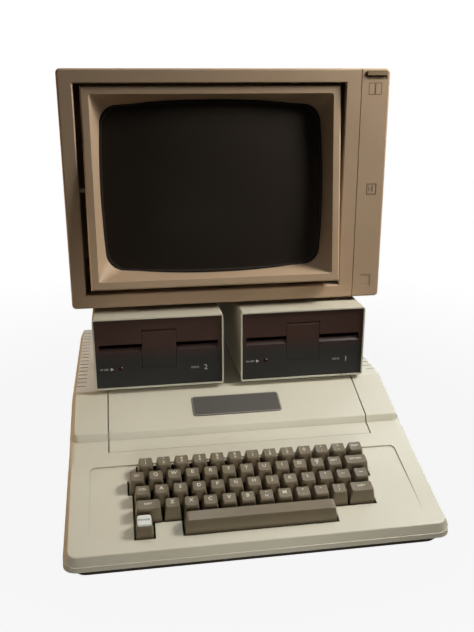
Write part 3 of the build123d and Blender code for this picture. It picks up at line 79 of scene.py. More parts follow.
class Plane:
    """A local plane: right, up and out are unit vectors in layout axes."""

    def __init__(self, origin, right, up):
        self.origin = Vector(origin)
        self.right = Vector(right)
        self.up = Vector(up)
        self.out = self.right.cross(self.up)

    def at(self, u, v, w=0.0):
        return P(*(self.origin + self.right * u + self.up * v + self.out * w))


def tilted(x, y, z, tilt):
    """A plane that climbs to the rear by tilt."""
    return Plane((x, y, z), (1, 0, 0), (0, math.cos(tilt), math.sin(tilt)))


DECK = tilted(0, DECK_Y, DECK_Z, DECK_TILT)
FRONT = Plane((0, MONITOR_FRONT_Y, 0), (1, 0, 0), (0, 0, 1))
MODULE_UP = (0, math.sin(MODULE_TILT), math.cos(MODULE_TILT))
MODULE = Plane((-14.8, 4.5, 340.8), (1, 0, 0), MODULE_UP)

# The tube's face is part of a sphere whose edge seats at the bottom of the reveal.
GLASS_W = 260.0
REVEAL_DEPTH = 22.0
TUBE_R = 620.0
TUBE_APEX = GLASS_W ** 2 / (8 * TUBE_R) - REVEAL_DEPTH


# Materials


class Nodes:
    """Short-hand for building one material's node tree."""

    def __init__(self, name):
        self.mat = bpy.data.materials.new(name)
        self.mat.use_nodes = True
        self.tree = self.mat.node_tree
        self.shader = self.tree.nodes["Principled BSDF"]
        self.coords = self.tree.nodes.new("ShaderNodeTexCoord").outputs["Object"]

    def new(self, kind, **settings):
        node = self.tree.nodes.new(kind)
        for key, value in settings.items():
            setattr(node, key, value)
        return node

    def link(self, a, b):
        self.tree.links.new(a, b)

    def noise(self, scale, detail=3.0, roughness=0.5, stretch=None):
        """Noise whose blobs are about 1 / scale metres across."""
        node = self.new("ShaderNodeTexNoise")
        node.inputs["Scale"].default_value = scale
        node.inputs["Detail"].default_value = detail
        node.inputs["Roughness"].default_value = roughness
        source = self.coords
        if stretch:
            mapping = self.new("ShaderNodeMapping")
            mapping.inputs["Scale"].default_value = stretch
            self.link(source, mapping.inputs["Vector"])
            source = mapping.outputs["Vector"]
        self.link(source, node.inputs["Vector"])
        return node.outputs["Fac"]

    def ramp(self, source, stops):
        """A colour ramp from (position, colour) stops."""
        node = self.new("ShaderNodeValToRGB")
        elements = node.color_ramp.elements
        while len(elements) < len(stops):
            elements.new(0.5)
        for element, (place, colour) in zip(elements, stops):
            element.position = place
            element.color = (*colour, 1.0) if len(colour) == 3 else colour
        self.link(source, node.inputs["Fac"])
        return node.outputs["Color"]

    def span(self, source, low, high, to_low, to_high):
        node = self.new("ShaderNodeMapRange")
        node.inputs["From Min"].default_value = low
        node.inputs["From Max"].default_value = high
        node.inputs["To Min"].default_value = to_low
        node.inputs["To Max"].default_value = to_high
        self.link(source, node.inputs["Value"])
        return node.outputs["Result"]

    def mix(self, factor, a, b):
        node = self.new("ShaderNodeMix", data_type="RGBA")
        for value, socket in ((factor, node.inputs[0]), (a, node.inputs[6]), (b, node.inputs[7])):
            if isinstance(value, bpy.types.NodeSocket):
                self.link(value, socket)
            elif isinstance(value, (int, float)):
                socket.default_value = value
            else:
                socket.default_value = (*value, 1.0)
        return node.outputs[2]

    def bump(self, height, strength, distance, under=None):
        node = self.new("ShaderNodeBump")
        node.inputs["Strength"].default_value = strength
        node.inputs["Distance"].default_value = distance
        self.link(height, node.inputs["Height"])
        if under is not None:
            self.link(under, node.inputs["Normal"])
        self.link(node.outputs["Normal"], self.shader.inputs["Normal"])
        return node.outputs["Normal"]


def shade(colour, factor):
    return tuple(min(1.0, c * factor) for c in colour)


def moulded(name, colour, rough=0.5, grain=1800, depth=0.00006, tint=None, patch=7.0, spread=0.10,
            grime_and_painted_shade=0.0, coat=0.0):
    """Moulded or painted surface: slow colour drift, faint specks, a fine grain and uneven gloss."""
    n = Nodes(name)
    tint = tint or shade(colour, 1 - spread)
    drift = n.ramp(n.noise(patch, 4.0, 0.55), [(0.33, tint), (0.67, shade(colour, 1 + spread / 3))])
    specks = n.span(n.noise(650, 2.0, 0.6), 0.62, 0.74, 0.0, 0.35 * spread / 0.10)
    base = n.mix(specks, drift, shade(colour, 0.72))
    # Ambient occlusion darkens creases, seams, vents and recesses: painted shade there, with some grime.
    if grime_and_painted_shade:
        ao = n.new("ShaderNodeAmbientOcclusion", samples=6)
        ao.inputs["Distance"].default_value = 0.006
        dirt_and_painted_shade = n.span(ao.outputs["AO"], 0.35, 0.95, grime_and_painted_shade, 0.0)
        base = n.mix(dirt_and_painted_shade, base, (0.10, 0.075, 0.045))
    n.link(base, n.shader.inputs["Base Color"])
    gloss = n.span(n.noise(55, 5.0, 0.6), 0.3, 0.7, rough - 0.06, rough + 0.08)
    n.link(gloss, n.shader.inputs["Roughness"])
    n.bump(n.noise(grain, 2.0, 0.5), 0.5, depth)
    if coat:
        n.shader.inputs["Coat Weight"].default_value = coat
        n.shader.inputs["Coat Roughness"].default_value = 0.12
    return n.mat


def metal(name, colour, rough=0.35, brush=(4, 220, 220)):
    """Metal with a faint drawn grain."""
    n = Nodes(name)
    grain = n.noise(9.0, 6.0, 0.65, stretch=brush)
    n.link(n.ramp(grain, [(0.3, shade(colour, 0.82)), (0.7, colour)]), n.shader.inputs["Base Color"])
    n.link(n.span(grain, 0.3, 0.7, rough - 0.08, rough + 0.1), n.shader.inputs["Roughness"])
    n.shader.inputs["Metallic"].default_value = 1.0
    n.bump(grain, 0.15, 0.00005)
    return n.mat


def board_material(name, colour):
    """Circuit board with lighter tracks."""
    n = Nodes(name)
    cells = n.new("ShaderNodeTexBrick")
    cells.inputs["Scale"].default_value = 160.0
    cells.inputs["Mortar Size"].default_value = 0.03
    cells.inputs["Color1"].default_value = (*colour, 1)
    cells.inputs["Color2"].default_value = (*shade(colour, 0.8), 1)
    cells.inputs["Mortar"].default_value = (*shade(colour, 1.8), 1)
    n.link(n.coords, cells.inputs["Vector"])
    n.link(cells.outputs["Color"], n.shader.inputs["Base Color"])
    n.link(n.span(n.noise(40), 0.3, 0.7, 0.3, 0.5), n.shader.inputs["Roughness"])
    return n.mat


def tube_material():
    """Dark glass face with a faint smear of dust and a smooth shine."""
    n = Nodes("tube_glass")
    clear, dusty = (0.0250, 0.0200, 0.0158), (0.0310, 0.0248, 0.0200)
    dust = n.ramp(n.noise(6.0, 5.0, 0.6), [(0.35, clear), (0.75, dusty)])
    n.link(dust, n.shader.inputs["Base Color"])
    n.link(n.span(n.noise(14.0, 4.0, 0.6), 0.3, 0.7, 0.16, 0.24), n.shader.inputs["Roughness"])
    n.shader.inputs["Specular IOR Level"].default_value = 0.22
    return n.mat


def drive_face_material():
    """Smoky black moulding with a fine leather-like grain; above the slot's height it turns reddish-brown
    as a painted reflection.
    """
    n = Nodes("drive_black")
    height = n.new("ShaderNodeSeparateXYZ")
    n.link(n.coords, height.inputs[0])
    # Painted reflection: reddish-brown above the slot's height, plain charcoal below.
    painted_reflection_mask = n.span(height.outputs["Z"], 0.145, 0.165, 0.0, 1.0)
    lower = n.ramp(n.noise(9.0, 3.0), [(0.3, (0.027, 0.0260, 0.0250)), (0.7, (0.034, 0.0325, 0.0312))])
    upper = n.ramp(n.noise(9.0, 3.0), [(0.3, (0.054, 0.0270, 0.0205)), (0.7, (0.066, 0.0335, 0.0260))])
    n.link(n.mix(painted_reflection_mask, lower, upper), n.shader.inputs["Base Color"])
    n.link(n.span(n.noise(70, 4.0), 0.3, 0.7, 0.34, 0.44), n.shader.inputs["Roughness"])
    n.bump(n.noise(1400, 3.0, 0.6), 0.45, 0.00005)
    return n.mat


def ink(name, colour, rough=0.5):
    """Printed or inlaid marking, a little uneven."""
    n = Nodes(name)
    cover = n.ramp(n.noise(900, 3.0), [(0.3, shade(colour, 0.86)), (0.7, colour)])
    n.link(cover, n.shader.inputs["Base Color"])
    n.link(n.span(n.noise(300), 0.3, 0.7, rough - 0.05, rough + 0.05), n.shader.inputs["Roughness"])
    return n.mat


BEIGE = (0.68, 0.645, 0.53)
TAUPE = (0.51, 0.365, 0.242)
KEY_BROWN = (0.205, 0.163, 0.105)

# Case and monitor mouldings darken their hollows: painted shade with some grime.
MATERIALS = {
    "case_plastic": moulded("case_plastic", BEIGE, 0.46, 2200, 0.00004, tint=(0.655, 0.61, 0.485),
                            grime_and_painted_shade=0.35),
    "case_paint": moulded("case_paint", (0.67, 0.635, 0.525), 0.44, 2600, 0.00003, tint=(0.64, 0.60, 0.48),
                          grime_and_painted_shade=0.3),
    "base_plastic": moulded("base_plastic", (0.085, 0.07, 0.055), 0.6),
    "foot_rubber": moulded("foot_rubber", (0.02, 0.02, 0.02), 0.8, 900, 0.0001),
    "screw_steel": metal("screw_steel", (0.55, 0.54, 0.52)),
    "nameplate_plastic": moulded("nameplate_plastic", (0.105, 0.095, 0.085), 0.42, 2400, 0.00002),
    "lamp_cap_plastic": moulded("lamp_cap_plastic", (0.80, 0.80, 0.77), 0.35, 2400, 0.00002, spread=0.04),
    "key_brown": moulded("key_brown", KEY_BROWN, 0.36, 2600, 0.00002, spread=0.14, coat=0.12),
    "board_green": board_material("board_green", (0.018, 0.10, 0.035)),
    "chip_black": moulded("chip_black", (0.02, 0.02, 0.02), 0.55),
    "slot_plastic": moulded("slot_plastic", (0.02, 0.12, 0.07), 0.4),
    "supply_metal": metal("supply_metal", (0.50, 0.49, 0.46), 0.42),
    "rocker_black": moulded("rocker_black", (0.018, 0.018, 0.018), 0.35),
    "speaker_paper": moulded("speaker_paper", (0.04, 0.038, 0.034), 0.8, 700, 0.0002),
    "monitor_taupe": moulded("monitor_taupe", TAUPE, 0.52, 1700, 0.00007, tint=(0.48, 0.338, 0.218),
                             grime_and_painted_shade=0.35),
    # Darker than the case: partly the button's own brown, partly painted shade of the recess it sits in.
    "monitor_button": moulded("monitor_button", (0.30, 0.215, 0.125), 0.5, 1700, 0.00005),
    "tube_glass": tube_material(),
    "yoke_copper": metal("yoke_copper", (0.55, 0.26, 0.12), 0.4),
    "knob_black": moulded("knob_black", (0.02, 0.02, 0.02), 0.5),
    "lamp_red": moulded("lamp_red", (0.045, 0.007, 0.006), 0.22, 3000, 0.00001),
    "belt_rubber": moulded("belt_rubber", (0.015, 0.015, 0.015), 0.7),
    "drive_black": drive_face_material(),
    "chassis_metal": metal("chassis_metal", (0.62, 0.62, 0.60), 0.45),
    "machined_metal": metal("machined_metal", (0.72, 0.71, 0.69), 0.25),
    "carriage_plastic": moulded("carriage_plastic", (0.50, 0.47, 0.40), 0.5),
}
LEGEND = ink("key_legend", (0.74, 0.71, 0.60))
LEGEND_DARK = ink("lamp_legend", (0.10, 0.09, 0.08))
MARK_WHITE = ink("drive_marking", (0.58, 0.56, 0.52))
PLATE_RIM = ink("nameplate_rim", (0.36, 0.34, 0.30), 0.35)
# Engraved icons: the light ink is a painted highlight, the dark ink painted shade in the grooves.
ICON_PAINTED_HIGHLIGHT = ink("icon_painted_highlight", (0.46, 0.38, 0.28))
ICON_PAINTED_SHADE = ink("icon_painted_shade", (0.12, 0.09, 0.055))
EDGE_CHARCOAL = ink("edge_charcoal", (0.032, 0.032, 0.034), 0.4)

for row in frame["record"]["subparts"]:
    node = frame["nodes"][row["node"]]
    for i in range(max(1, len(node.material_slots))):
        if len(node.material_slots) <= i:
            node.data.materials.append(MATERIALS[row["material_slot"]])
        else:
            node.material_slots[i].material = MATERIALS[row["material_slot"]]


# Mesh helpers


def add_mesh(name, verts, faces, material, body, smooth=True, replaces=()):
    """A new piece that rides a body and carries one material."""
    data = bpy.data.meshes.new(name)
    data.from_pydata([tuple(v) for v in verts], [], faces)
    data.update()
    obj = bpy.data.objects.new(name, data)
    bpy.context.collection.objects.link(obj)
    data.materials.append(material)
    if smooth:
        data.polygons.foreach_set("use_smooth", [True] * len(data.polygons))
    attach(obj, body)
    if replaces:
        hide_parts(*replaces)
    return obj


class Build:
    """Collects vertices and faces of one piece."""

    def __init__(self):
        self.verts = []
        self.faces = []

    def ring_stack(self, rings, close_bottom=False, close_top=True):
        """Skins equal-length closed rings, bottom to top."""
        start = len(self.verts)
        count = len(rings[0])
        for ring in rings:
            self.verts.extend(ring)
        for k in range(len(rings) - 1):
            for i in range(count):
                j = (i + 1) % count
                a, b = start + k * count, start + (k + 1) * count
                self.faces.append((a + i, a + j, b + j, b + i))
        if close_top:
            top = start + (len(rings) - 1) * count
            self.faces.append(tuple(top + i for i in range(count)))
        if close_bottom:
            self.faces.append(tuple(start + i for i in reversed(range(count))))

    def slab(self, plane, u0, u1, v0, v1, w0, w1, edge=0.0):
        """A box on a plane, its outer edge drawn in by edge."""
        low = [plane.at(*c) for c in ((u0, v0, w0), (u1, v0, w0), (u1, v1, w0), (u0, v1, w0))]
        mid = [plane.at(*c) for c in ((u0, v0, w1 - edge), (u1, v0, w1 - edge), (u1, v1, w1 - edge),
                                      (u0, v1, w1 - edge))]
        e = edge
        top = [plane.at(*c) for c in ((u0 + e, v0 + e, w1), (u1 - e, v0 + e, w1), (u1 - e, v1 - e, w1),
                                      (u0 + e, v1 - e, w1))]
        rings = [low, mid, top] if edge else [low, top]
        self.ring_stack(rings, close_bottom=True)

    def polygon(self, plane, points, w0, w1):
        """A flat outline raised from w0 to w1; points run counter-clockwise."""
        self.ring_stack([[plane.at(u, v, w) for u, v in points] for w in (w0, w1)], close_bottom=True)

    def piece(self, name, material, body, slot, smooth=False, replaces=()):
        return add_mesh(name, self.verts, self.faces, material, body, smooth, replaces)


def rounded_loop(half_u, half_v, radius, per_corner=4, per_side=3):
    """Points round a rounded rectangle, counter-clockwise, evenly named so that loops can be skinned."""
    points = []
    corners = [(half_u, half_v, 0), (-half_u, half_v, 90), (-half_u, -half_v, 180), (half_u, -half_v, 270)]
    for i, (cu, cv, start) in enumerate(corners):
        mu = cu - math.copysign(radius, cu)
        mv = cv - math.copysign(radius, cv)
        arc = []
        for k in range(per_corner + 1):
            a = math.radians(start + 90 * k / per_corner)
            arc.append((mu + radius * math.cos(a), mv + radius * math.sin(a)))
        points.extend(arc)
        nu, nv, next_start = corners[(i + 1) % 4]
        a = math.radians(next_start)
        first = (nu - math.copysign(radius, nu) + radius * math.cos(a),
                 nv - math.copysign(radius, nv) + radius * math.sin(a))
        last = arc[-1]
        for k in range(1, per_side + 1):
            t = k / (per_side + 1)
            points.append((last[0] + (first[0] - last[0]) * t, last[1] + (first[1] - last[1]) * t))
    return points


def text_shapes(text, size, bold=0.0):
    """Flat glyph vertices and faces for a text, centred, in millimetres."""
    curve = bpy.data.curves.new("glyphs", "FONT")
    curve.body = text
    curve.align_x = "CENTER"
    curve.align_y = "CENTER"
    curve.size = size
    curve.offset = bold
    curve.resolution_u = 3
    curve.space_line = 0.85
    obj = bpy.data.objects.new("glyphs", curve)
    bpy.context.collection.objects.link(obj)
    mesh = bpy.data.meshes.new_from_object(obj)
    bm = bmesh.new()
    bm.from_mesh(mesh)
    bmesh.ops.triangulate(bm, faces=bm.faces)
    verts = [(v.co.x, v.co.y) for v in bm.verts]
    faces = [tuple(v.index for v in f.verts) for f in bm.faces]
    bm.free()
    bpy.data.objects.remove(obj)
    bpy.data.curves.remove(curve)
    bpy.data.meshes.remove(mesh)
    return verts, faces


def add_text(build, plane, text, u, v, size, height, lift=0.05, bold=0.0):
    """Lays glyphs on a plane; height(u, v) gives the surface's distance from the plane."""
    verts, faces = text_shapes(text, size, bold)
    start = len(build.verts)
    for x, y in verts:
        build.verts.append(plane.at(u + x, v + y, height(u + x, v + y) + lift))
    build.faces.extend(tuple(start + i for i in f) for f in faces)


def level(value):
    return lambda u, v: value


# Keys

KEY_GAP = 1.2
KEY_BASE_W = -1.5
KEY_TOP = 14.5
KEY_TOP_SHRINK = 4.45
KEY_TOP_D = 12.2
KEY_TOP_BACK = 1.2
KEY_DISH = 0.8

KEY_ROWS = [
    (0.25, [("number_row_keys", "1! 2\" 3# 4$ 5% 6& 7' 8( 9) 0 :* -=", 1.0), ("reset_key", "RESET", 1.0)]),
    (-0.25, [("escape_key", "ESC", 1.0), ("upper_letter_keys", "Q W E R T Y U I O P@", 1.0),
             ("repeat_key", "REPT", 1.0), ("return_key", "RETURN", 1.5)]),
    (0.0, [("control_key", "CTRL", 1.0), ("home_letter_keys", "A S D F G H J K L ;+", 1.0),
           ("left_arrow_key", "<", 1.0), ("right_arrow_key", ">", 1.0)]),
    (0.0, [("shift_key_left", "SHIFT", 1.5), ("lower_letter_keys", "Z X C V B N^ M ,< .> /?", 1.0),
           ("shift_key_right", "SHIFT", 1.5)]),
]


def row_v(row):
    return KEYS_BACK - (row + 0.5) * KEY_PITCH


def dish_height(half, u, hollow):
    """Height of a key's top above the deck at u from its middle."""
    if not hollow:
        return KEY_TOP + 0.35 - 0.7 * (u / half) ** 2 * 0.2
    radius = (half * half + KEY_DISH * KEY_DISH) / (2 * KEY_DISH)
    return KEY_TOP - KEY_DISH / 2 + radius - math.sqrt(max(0.0, radius * radius - u * u))


def key_rings(u, v, width, hollow=True):
    """Rings of one key cap from its skirt over a rolled edge into its hollow top."""
    base_u = (width - KEY_GAP) / 2
    base_v = (KEY_PITCH - KEY_GAP) / 2
    top_u = base_u - KEY_TOP_SHRINK / 2
    top_v = KEY_TOP_D / 2
    side = 11 if width > 3 * KEY_PITCH else 3
    rings = []
    levels = [(0.0, 0.0), (0.3, 0.0), (0.6, 0.0), (0.9, 0.0), (0.965, 0.12), (0.992, 0.38)]
    for t, draw in levels:
        cu, cv = u, v + KEY_TOP_BACK * t
        hu = base_u + (top_u - base_u) * t - draw
        hv = base_v + (top_v - base_v) * t - draw
        ring = []
        for du, dv in rounded_loop(hu, hv, 1.0 + 0.9 * t, per_side=side):
            top = dish_height(top_u, min(abs(du), top_u), hollow)
            ring.append(DECK.at(cu + du, cv + dv, KEY_BASE_W + (top - KEY_BASE_W) * t))
        rings.append(ring)
    for shrink in (0.96, 0.90, 0.75, 0.5, 0.25, 0.04):
        ring = []
        for du, dv in rounded_loop(top_u * shrink, top_v * shrink, 1.9 * shrink, per_side=side):
            ring.append(DECK.at(u + du, v + KEY_TOP_BACK + dv, dish_height(top_u, abs(du), hollow)))
        rings.append(ring)
    return rings


def arrow(build, u, v, height, way):
    """A small arrow of three strokes."""
    w0, w1 = height + 0.03, height + 0.08
    build.slab(DECK, u - 1.9, u + 1.9, v - 0.25, v + 0.25, w0, w1)
    tip = u + way * 2.4
    back = u + way * 0.8
    points = [(tip, v), (back, v + 1.1), (back, v - 1.1)]
    build.polygon(DECK, points if way > 0 else points[::-1], w0, w1)


def legend_for(build, word, u, v, width):
    """One key's legend, on the surface of its hollow top."""
    half = (width - KEY_GAP) / 2 - KEY_TOP_SHRINK / 2

    def height(x, y):
        return dish_height(half, min(abs(x - u), half), True)

    mid = v + KEY_TOP_BACK
    if word in "<>" and len(word) == 1:
        arrow(build, u, mid + 0.6, dish_height(half, 1.2, True), 1 if word == ">" else -1)
    elif len(word) == 1:
        add_text(build, DECK, word, u, mid + 1.0, 6.0, height, bold=0.12)
    elif len(word) == 2:
        add_text(build, DECK, word[0], u, mid - 1.6, 4.6, height, bold=0.10)
        add_text(build, DECK, word[1], u, mid + 2.6, 4.2, height, bold=0.10)
    else:
        add_text(build, DECK, word, u, mid + 1.0, 3.3 if len(word) < 6 else 3.4, height, bold=0.08)


def make_keys():
    for row, (start, groups) in enumerate(KEY_ROWS):
        left = KEYS_LEFT + start * KEY_PITCH
        for node, words, units in groups:
            caps, marks = Build(), Build()
            for word in words.split():
                width = units * KEY_PITCH
                u = left + width / 2
                caps.ring_stack(key_rings(u, row_v(row), width), close_bottom=True)
                legend_for(marks, word, u, row_v(row), width)
                left += width
            caps.piece("caps_" + node, MATERIALS["key_brown"], node, "key_brown", smooth=True,
                       replaces=(node,))
            marks.piece("legends_" + node, LEGEND, node, "key_brown")
    width = SPACE_UNITS * KEY_PITCH
    bar = Build()
    bar.ring_stack(key_rings(SPACE_LEFT + width / 2, row_v(4), width, hollow=False), close_bottom=True)
    bar.piece("cap_space_bar", MATERIALS["key_brown"], "space_bar", "key_brown", smooth=True,
              replaces=("space_bar",))
    lamp = Build()
    u = KEYS_LEFT + KEY_PITCH / 2
    rings = key_rings(u, row_v(4), KEY_PITCH, hollow=False)
    lamp.ring_stack(rings[:4], close_bottom=True)
    lamp.piece("cap_power_lamp_body", MATERIALS["key_brown"], "machine", "key_brown", smooth=True,
               replaces=("power_lamp_cap",))
    window = Build()
    window.ring_stack(rings[3:], close_bottom=True)
    window.piece("cap_power_lamp_window", MATERIALS["lamp_cap_plastic"], "machine", "lamp_cap_plastic",
                 smooth=True)
    word = Build()
    add_text(word, DECK, "POWER", u, row_v(4) + KEY_TOP_BACK, 3.2, level(KEY_TOP + 0.33), bold=0.05)
    word.piece("legend_power_lamp", LEGEND_DARK, "machine", "lamp_cap_plastic")


make_keys()


# Nameplate: a bare plate with a thin bright rim

PLATE_UP = 31.8
PLATE_FACE = 1.0
RIM_TOP = 1.12


def make_nameplate_rim():
    """A raised line just inside the plate's edge."""
    slope = tilted(0, -75.4, 84.0, SLOPE_TILT)
    rim = Build()
    outer = rounded_loop(51.3, 14.9, 3.4)
    inner = rounded_loop(50.5, 14.1, 2.8)
    profile = ((outer, PLATE_FACE), (outer, RIM_TOP), (inner, RIM_TOP), (inner, PLATE_FACE))
    rings = [[slope.at(u, PLATE_UP + v, w) for u, v in loop] for loop, w in profile]
    rim.ring_stack(rings, close_top=False)
    rim.piece("nameplate_rim", PLATE_RIM, "machine", "nameplate_plastic")


make_nameplate_rim()


# Drive markings

def make_drive_marks():
    """Each drive's number, its two words and the arrow that points at its lamp."""
    for side, number in (("left", "2"), ("right", "1")):
        cx = DRIVE_X[side]
        face = Plane((cx, DRIVE_FRONT_Y + 1.8, DRIVE_BASE), (1, 0, 0), (0, 0, 1))
        marks = Build()
        add_text(marks, face, number, 54.3, 21.0, 9.0, level(0.0), bold=0.05)
        add_text(marks, face, "DRIVE", 41.5, 21.6, 3.4, level(0.0), bold=0.02)
        add_text(marks, face, "IN USE", -64.2, 24.6, 3.2, level(0.0), bold=0.02)
        marks.polygon(face, [(-57.0, 22.6), (-53.2, 24.6), (-57.0, 26.6)], 0.02, 0.06)
        marks.piece(side + "_drive_marks", MARK_WHITE, "machine", "drive_black")


make_drive_marks()


# Monitor icons: small engraved outlines, drawn as strokes of painted shade and painted highlight

def outline(build, plane, u, v, w, h, t=0.5, lift=0.06):
    """A square frame of four strokes about (u, v)."""
    build.slab(plane, u - w / 2, u + w / 2, v - h / 2, v - h / 2 + t, 0, lift)
    build.slab(plane, u - w / 2, u + w / 2, v + h / 2 - t, v + h / 2, 0, lift)
    build.slab(plane, u - w / 2, u - w / 2 + t, v - h / 2 + t, v + h / 2 - t, 0, lift)
    build.slab(plane, u + w / 2 - t, u + w / 2, v - h / 2 + t, v + h / 2 - t, 0, lift)


TILT_ICON = (170.5, 334.8)
BUTTON_ICONS_U = (165.2, 173.0)
BUTTON_ICONS_V = 448.0
MODULE_ICONS_V = (108.0, -108.0)


def make_icons():
    """The marks on the control strip and at the top and bottom of the screen's surround."""
    # Dark strokes are painted shade in the engraved grooves; the light copy set down and to the right is
    # their painted highlight.
    dark, light = Build(), Build()
    u, v = TILT_ICON
    outline(dark, FRONT, u, v, 11.8, 12.8, 0.9)
    outline(light, FRONT, u + 0.8, v - 0.8, 11.8, 12.8, 0.6, 0.05)
    dark.slab(FRONT, u + 0.3, u + 1.5, v - 3.0, v + 3.9, 0, 0.06)
    dark.slab(FRONT, u - 3.3, u - 2.5, v - 2.4, v + 3.2, 0, 0.06)
    light.slab(FRONT, u - 2.3, u - 0.1, v - 1.6, v + 1.4, 0, 0.05)
    for u in BUTTON_ICONS_U:
        outline(dark, FRONT, u, BUTTON_ICONS_V, 7.4, 13.0, 0.6)
    dark.piece("panel_icons_painted_shade", ICON_PAINTED_SHADE, "machine", "monitor_taupe")
    light.piece("panel_icons_painted_highlight", ICON_PAINTED_HIGHLIGHT, "machine", "monitor_taupe")

    # The surround's engraved marks are drawn as painted highlight.
    marks = Build()
    for v in MODULE_ICONS_V:
        outline(marks, MODULE, 0.0, v, 9.0, 5.4, 0.4)
        marks.slab(MODULE, -0.3, 0.3, v - 1.6, v + 1.6, 0, 0.06)
    marks.piece("module_icons", ICON_PAINTED_HIGHLIGHT, "screen", "monitor_taupe")


make_icons()


# Picture tube: the curved face in front of the CAD glass, with its dark edge

def make_tube_face():
    """Rings drawn in over the face's sphere, the outer ones a dark edge."""
    half_u, half_v, bow = 129.8, 96.3, 4.0
    loop = rounded_loop(half_u, half_v, 21.0, per_corner=8, per_side=8)
    loop = [(u * (1 - bow / half_u * (v / half_v) ** 2), v * (1 - bow / half_v * (u / half_u) ** 2))
            for u, v in loop]

    def ring(scale, lift=0.12):
        points = []
        for u, v in loop:
            u, v = u * scale, v * scale
            w = TUBE_APEX - TUBE_R + math.sqrt(TUBE_R ** 2 - u * u - v * v)
            points.append(MODULE.at(u, v, w + lift))
        return points

    edge = Build()
    edge.ring_stack([ring(1.0, -0.3), ring(1.0), ring(0.99), ring(0.978)], close_top=False)
    edge.piece("tube_edge", EDGE_CHARCOAL, "screen", "tube_glass", smooth=True)
    face = Build()
    face.ring_stack([ring(k) for k in (0.978, 0.95, 0.9, 0.8, 0.68, 0.54, 0.4, 0.26, 0.12, 0.03)])
    face.piece("tube_face", MATERIALS["tube_glass"], "screen", "tube_glass", smooth=True)


make_tube_face()


# Floor, lights and camera

def make_stage():
    """A wide floor whose far edge sweeps up into a pale wall all round."""
    profile = [(0.0, 0.0), (3.0, 0.0), (6.0, 0.0)]
    for k in range(1, 13):
        a = math.radians(90 * k / 12)
        profile.append((6.0 + 2.0 * math.sin(a), 2.0 - 2.0 * math.cos(a)))
    profile.append((8.0, 9.0))
    count = 64
    build = Build()
    for r, z in profile[1:]:
        build.verts.extend((r * math.cos(2 * math.pi * i / count), r * math.sin(2 * math.pi * i / count), z)
                           for i in range(count))
    for k in range(len(profile) - 2):
        for i in range(count):
            j = (i + 1) % count
            build.faces.append((k * count + i, k * count + j, (k + 1) * count + j, (k + 1) * count + i))
    build.faces.append(tuple(range(count)))
    data = bpy.data.meshes.new("floor")
    data.from_pydata(build.verts, [], build.faces)
    data.polygons.foreach_set("use_smooth", [True] * len(data.polygons))
    n = Nodes("stage_pale")
    seen = n.new("ShaderNodeLightPath").outputs["Is Camera Ray"]
    pale = n.ramp(n.noise(2.0, 2.0), [(0.3, (0.62, 0.62, 0.62)), (0.7, (0.64, 0.64, 0.64))])
    n.link(n.mix(seen, (0.34, 0.33, 0.31), pale), n.shader.inputs["Base Color"])
    n.shader.inputs["Roughness"].default_value = 0.9
    n.shader.inputs["Specular IOR Level"].default_value = 0.1
    reach = n.new("ShaderNodeVectorMath", operation="LENGTH")
    n.link(n.coords, reach.inputs[0])
    glow = n.span(reach.outputs["Value"], 0.35, 0.9, 0.92, 1.0)
    both = n.new("ShaderNodeMath", operation="MULTIPLY")
    n.link(glow, both.inputs[0])
    n.link(seen, both.inputs[1])
    n.shader.inputs["Emission Color"].default_value = (1, 1, 1, 1)
    n.link(both.outputs["Value"], n.shader.inputs["Emission Strength"])
    data.materials.append(n.mat)
    floor = bpy.data.objects.new("floor", data)
    bpy.context.collection.objects.link(floor)


def area_light(name, place, target, size, power, colour, spread=180):
    """A round soft lamp out of the camera's sight; a narrow beam leaves no highlight."""
    data = bpy.data.lights.new(name, "AREA")
    data.shape = "DISK"
    data.size = size
    data.energy = power
    data.color = colour
    data.spread = math.radians(spread)
    obj = bpy.data.objects.new(name, data)
    bpy.context.collection.objects.link(obj)
    obj.location = place
    obj.rotation_euler = (Vector(target) - Vector(place)).to_track_quat("-Z", "Y").to_euler()
    obj.visible_camera = False
    obj.visible_glossy = spread == 180


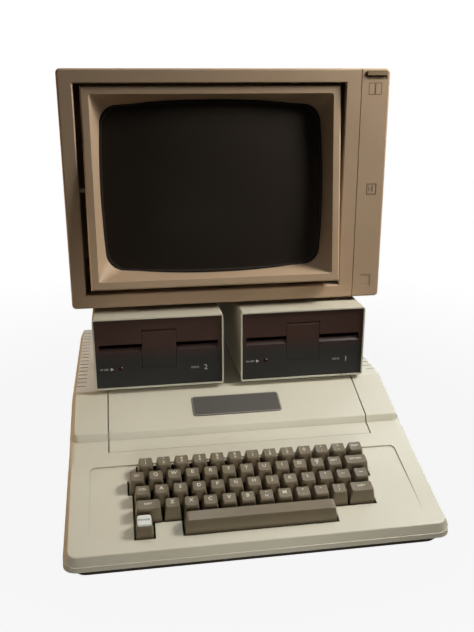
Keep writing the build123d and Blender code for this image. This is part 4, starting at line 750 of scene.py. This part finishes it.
def make_lights():
    """Cool window, ceiling, key lamp on the monitor, fills for the skirt, the left flank and the rear."""
    bpy.context.scene.view_settings.view_transform = "Standard"
    area_light("window", (0.95, 0.95, 1.05), (0.0, -0.15, 0.15), 1.2, 9.0, (0.62, 0.80, 1.0))
    area_light("ceiling", (0.0, 0.10, 1.6), (0.0, -0.15, 0.1), 0.5, 3.4, (0.96, 1.0, 1.0))
    area_light("right_front", (0.62, -0.27, 0.80), (0.08, -0.02, 0.42), 0.28, 7.4, (1.0, 0.98, 0.93))
    area_light("low_front", (-0.02, -1.15, 0.08), (-0.02, -0.2, -0.02), 0.5, 0.36, (1.0, 0.98, 0.92), 40)
    area_light("warm_left", (-0.75, 0.05, 0.26), (0.0, -0.10, 0.05), 0.4, 1.9, (1.0, 0.68, 0.38))
    area_light("back_fill", (-0.5, 1.7, 0.8), (0.0, 0.2, 0.25), 1.0, 9.0, (1.0, 0.99, 0.97))
    world = bpy.data.worlds.new("studio")
    bpy.context.scene.world = world
    world.use_nodes = True
    background = world.node_tree.nodes["Background"]
    background.inputs["Color"].default_value = (1.0, 0.98, 0.95, 1)
    background.inputs["Strength"].default_value = 0.08


def make_camera():
    """The photograph's viewpoint, found by fitting the computer's known size to it."""
    place = P(-120.24, -820.68, 455.92)
    yaw, pitch, roll = (math.radians(a) for a in (8.846, 17.694, -0.118))
    focal, middle_x, middle_y = 729.36, 236.45, 314.38
    width, height = 474, 632
    ahead = Vector((math.sin(yaw) * math.cos(pitch), math.cos(yaw) * math.cos(pitch), -math.sin(pitch)))
    right = Vector((math.cos(yaw), -math.sin(yaw), 0))
    up = right.cross(ahead)
    turned_right = right * math.cos(roll) + up * math.sin(roll)
    turned_up = up * math.cos(roll) - right * math.sin(roll)
    data = bpy.data.cameras.new("camera")
    data.sensor_fit = "VERTICAL"
    data.sensor_height = 36.0
    data.lens = focal / height * data.sensor_height
    data.shift_x = (width / 2 - middle_x) / height
    data.shift_y = (middle_y - height / 2) / height
    data.clip_end = 50.0
    obj = bpy.data.objects.new("camera", data)
    bpy.context.collection.objects.link(obj)
    turn = Matrix((turned_right, turned_up, -ahead)).transposed()
    obj.matrix_world = Matrix.Translation(place) @ turn.to_4x4()
    bpy.context.scene.camera = obj


make_stage()
make_lights()
make_camera()
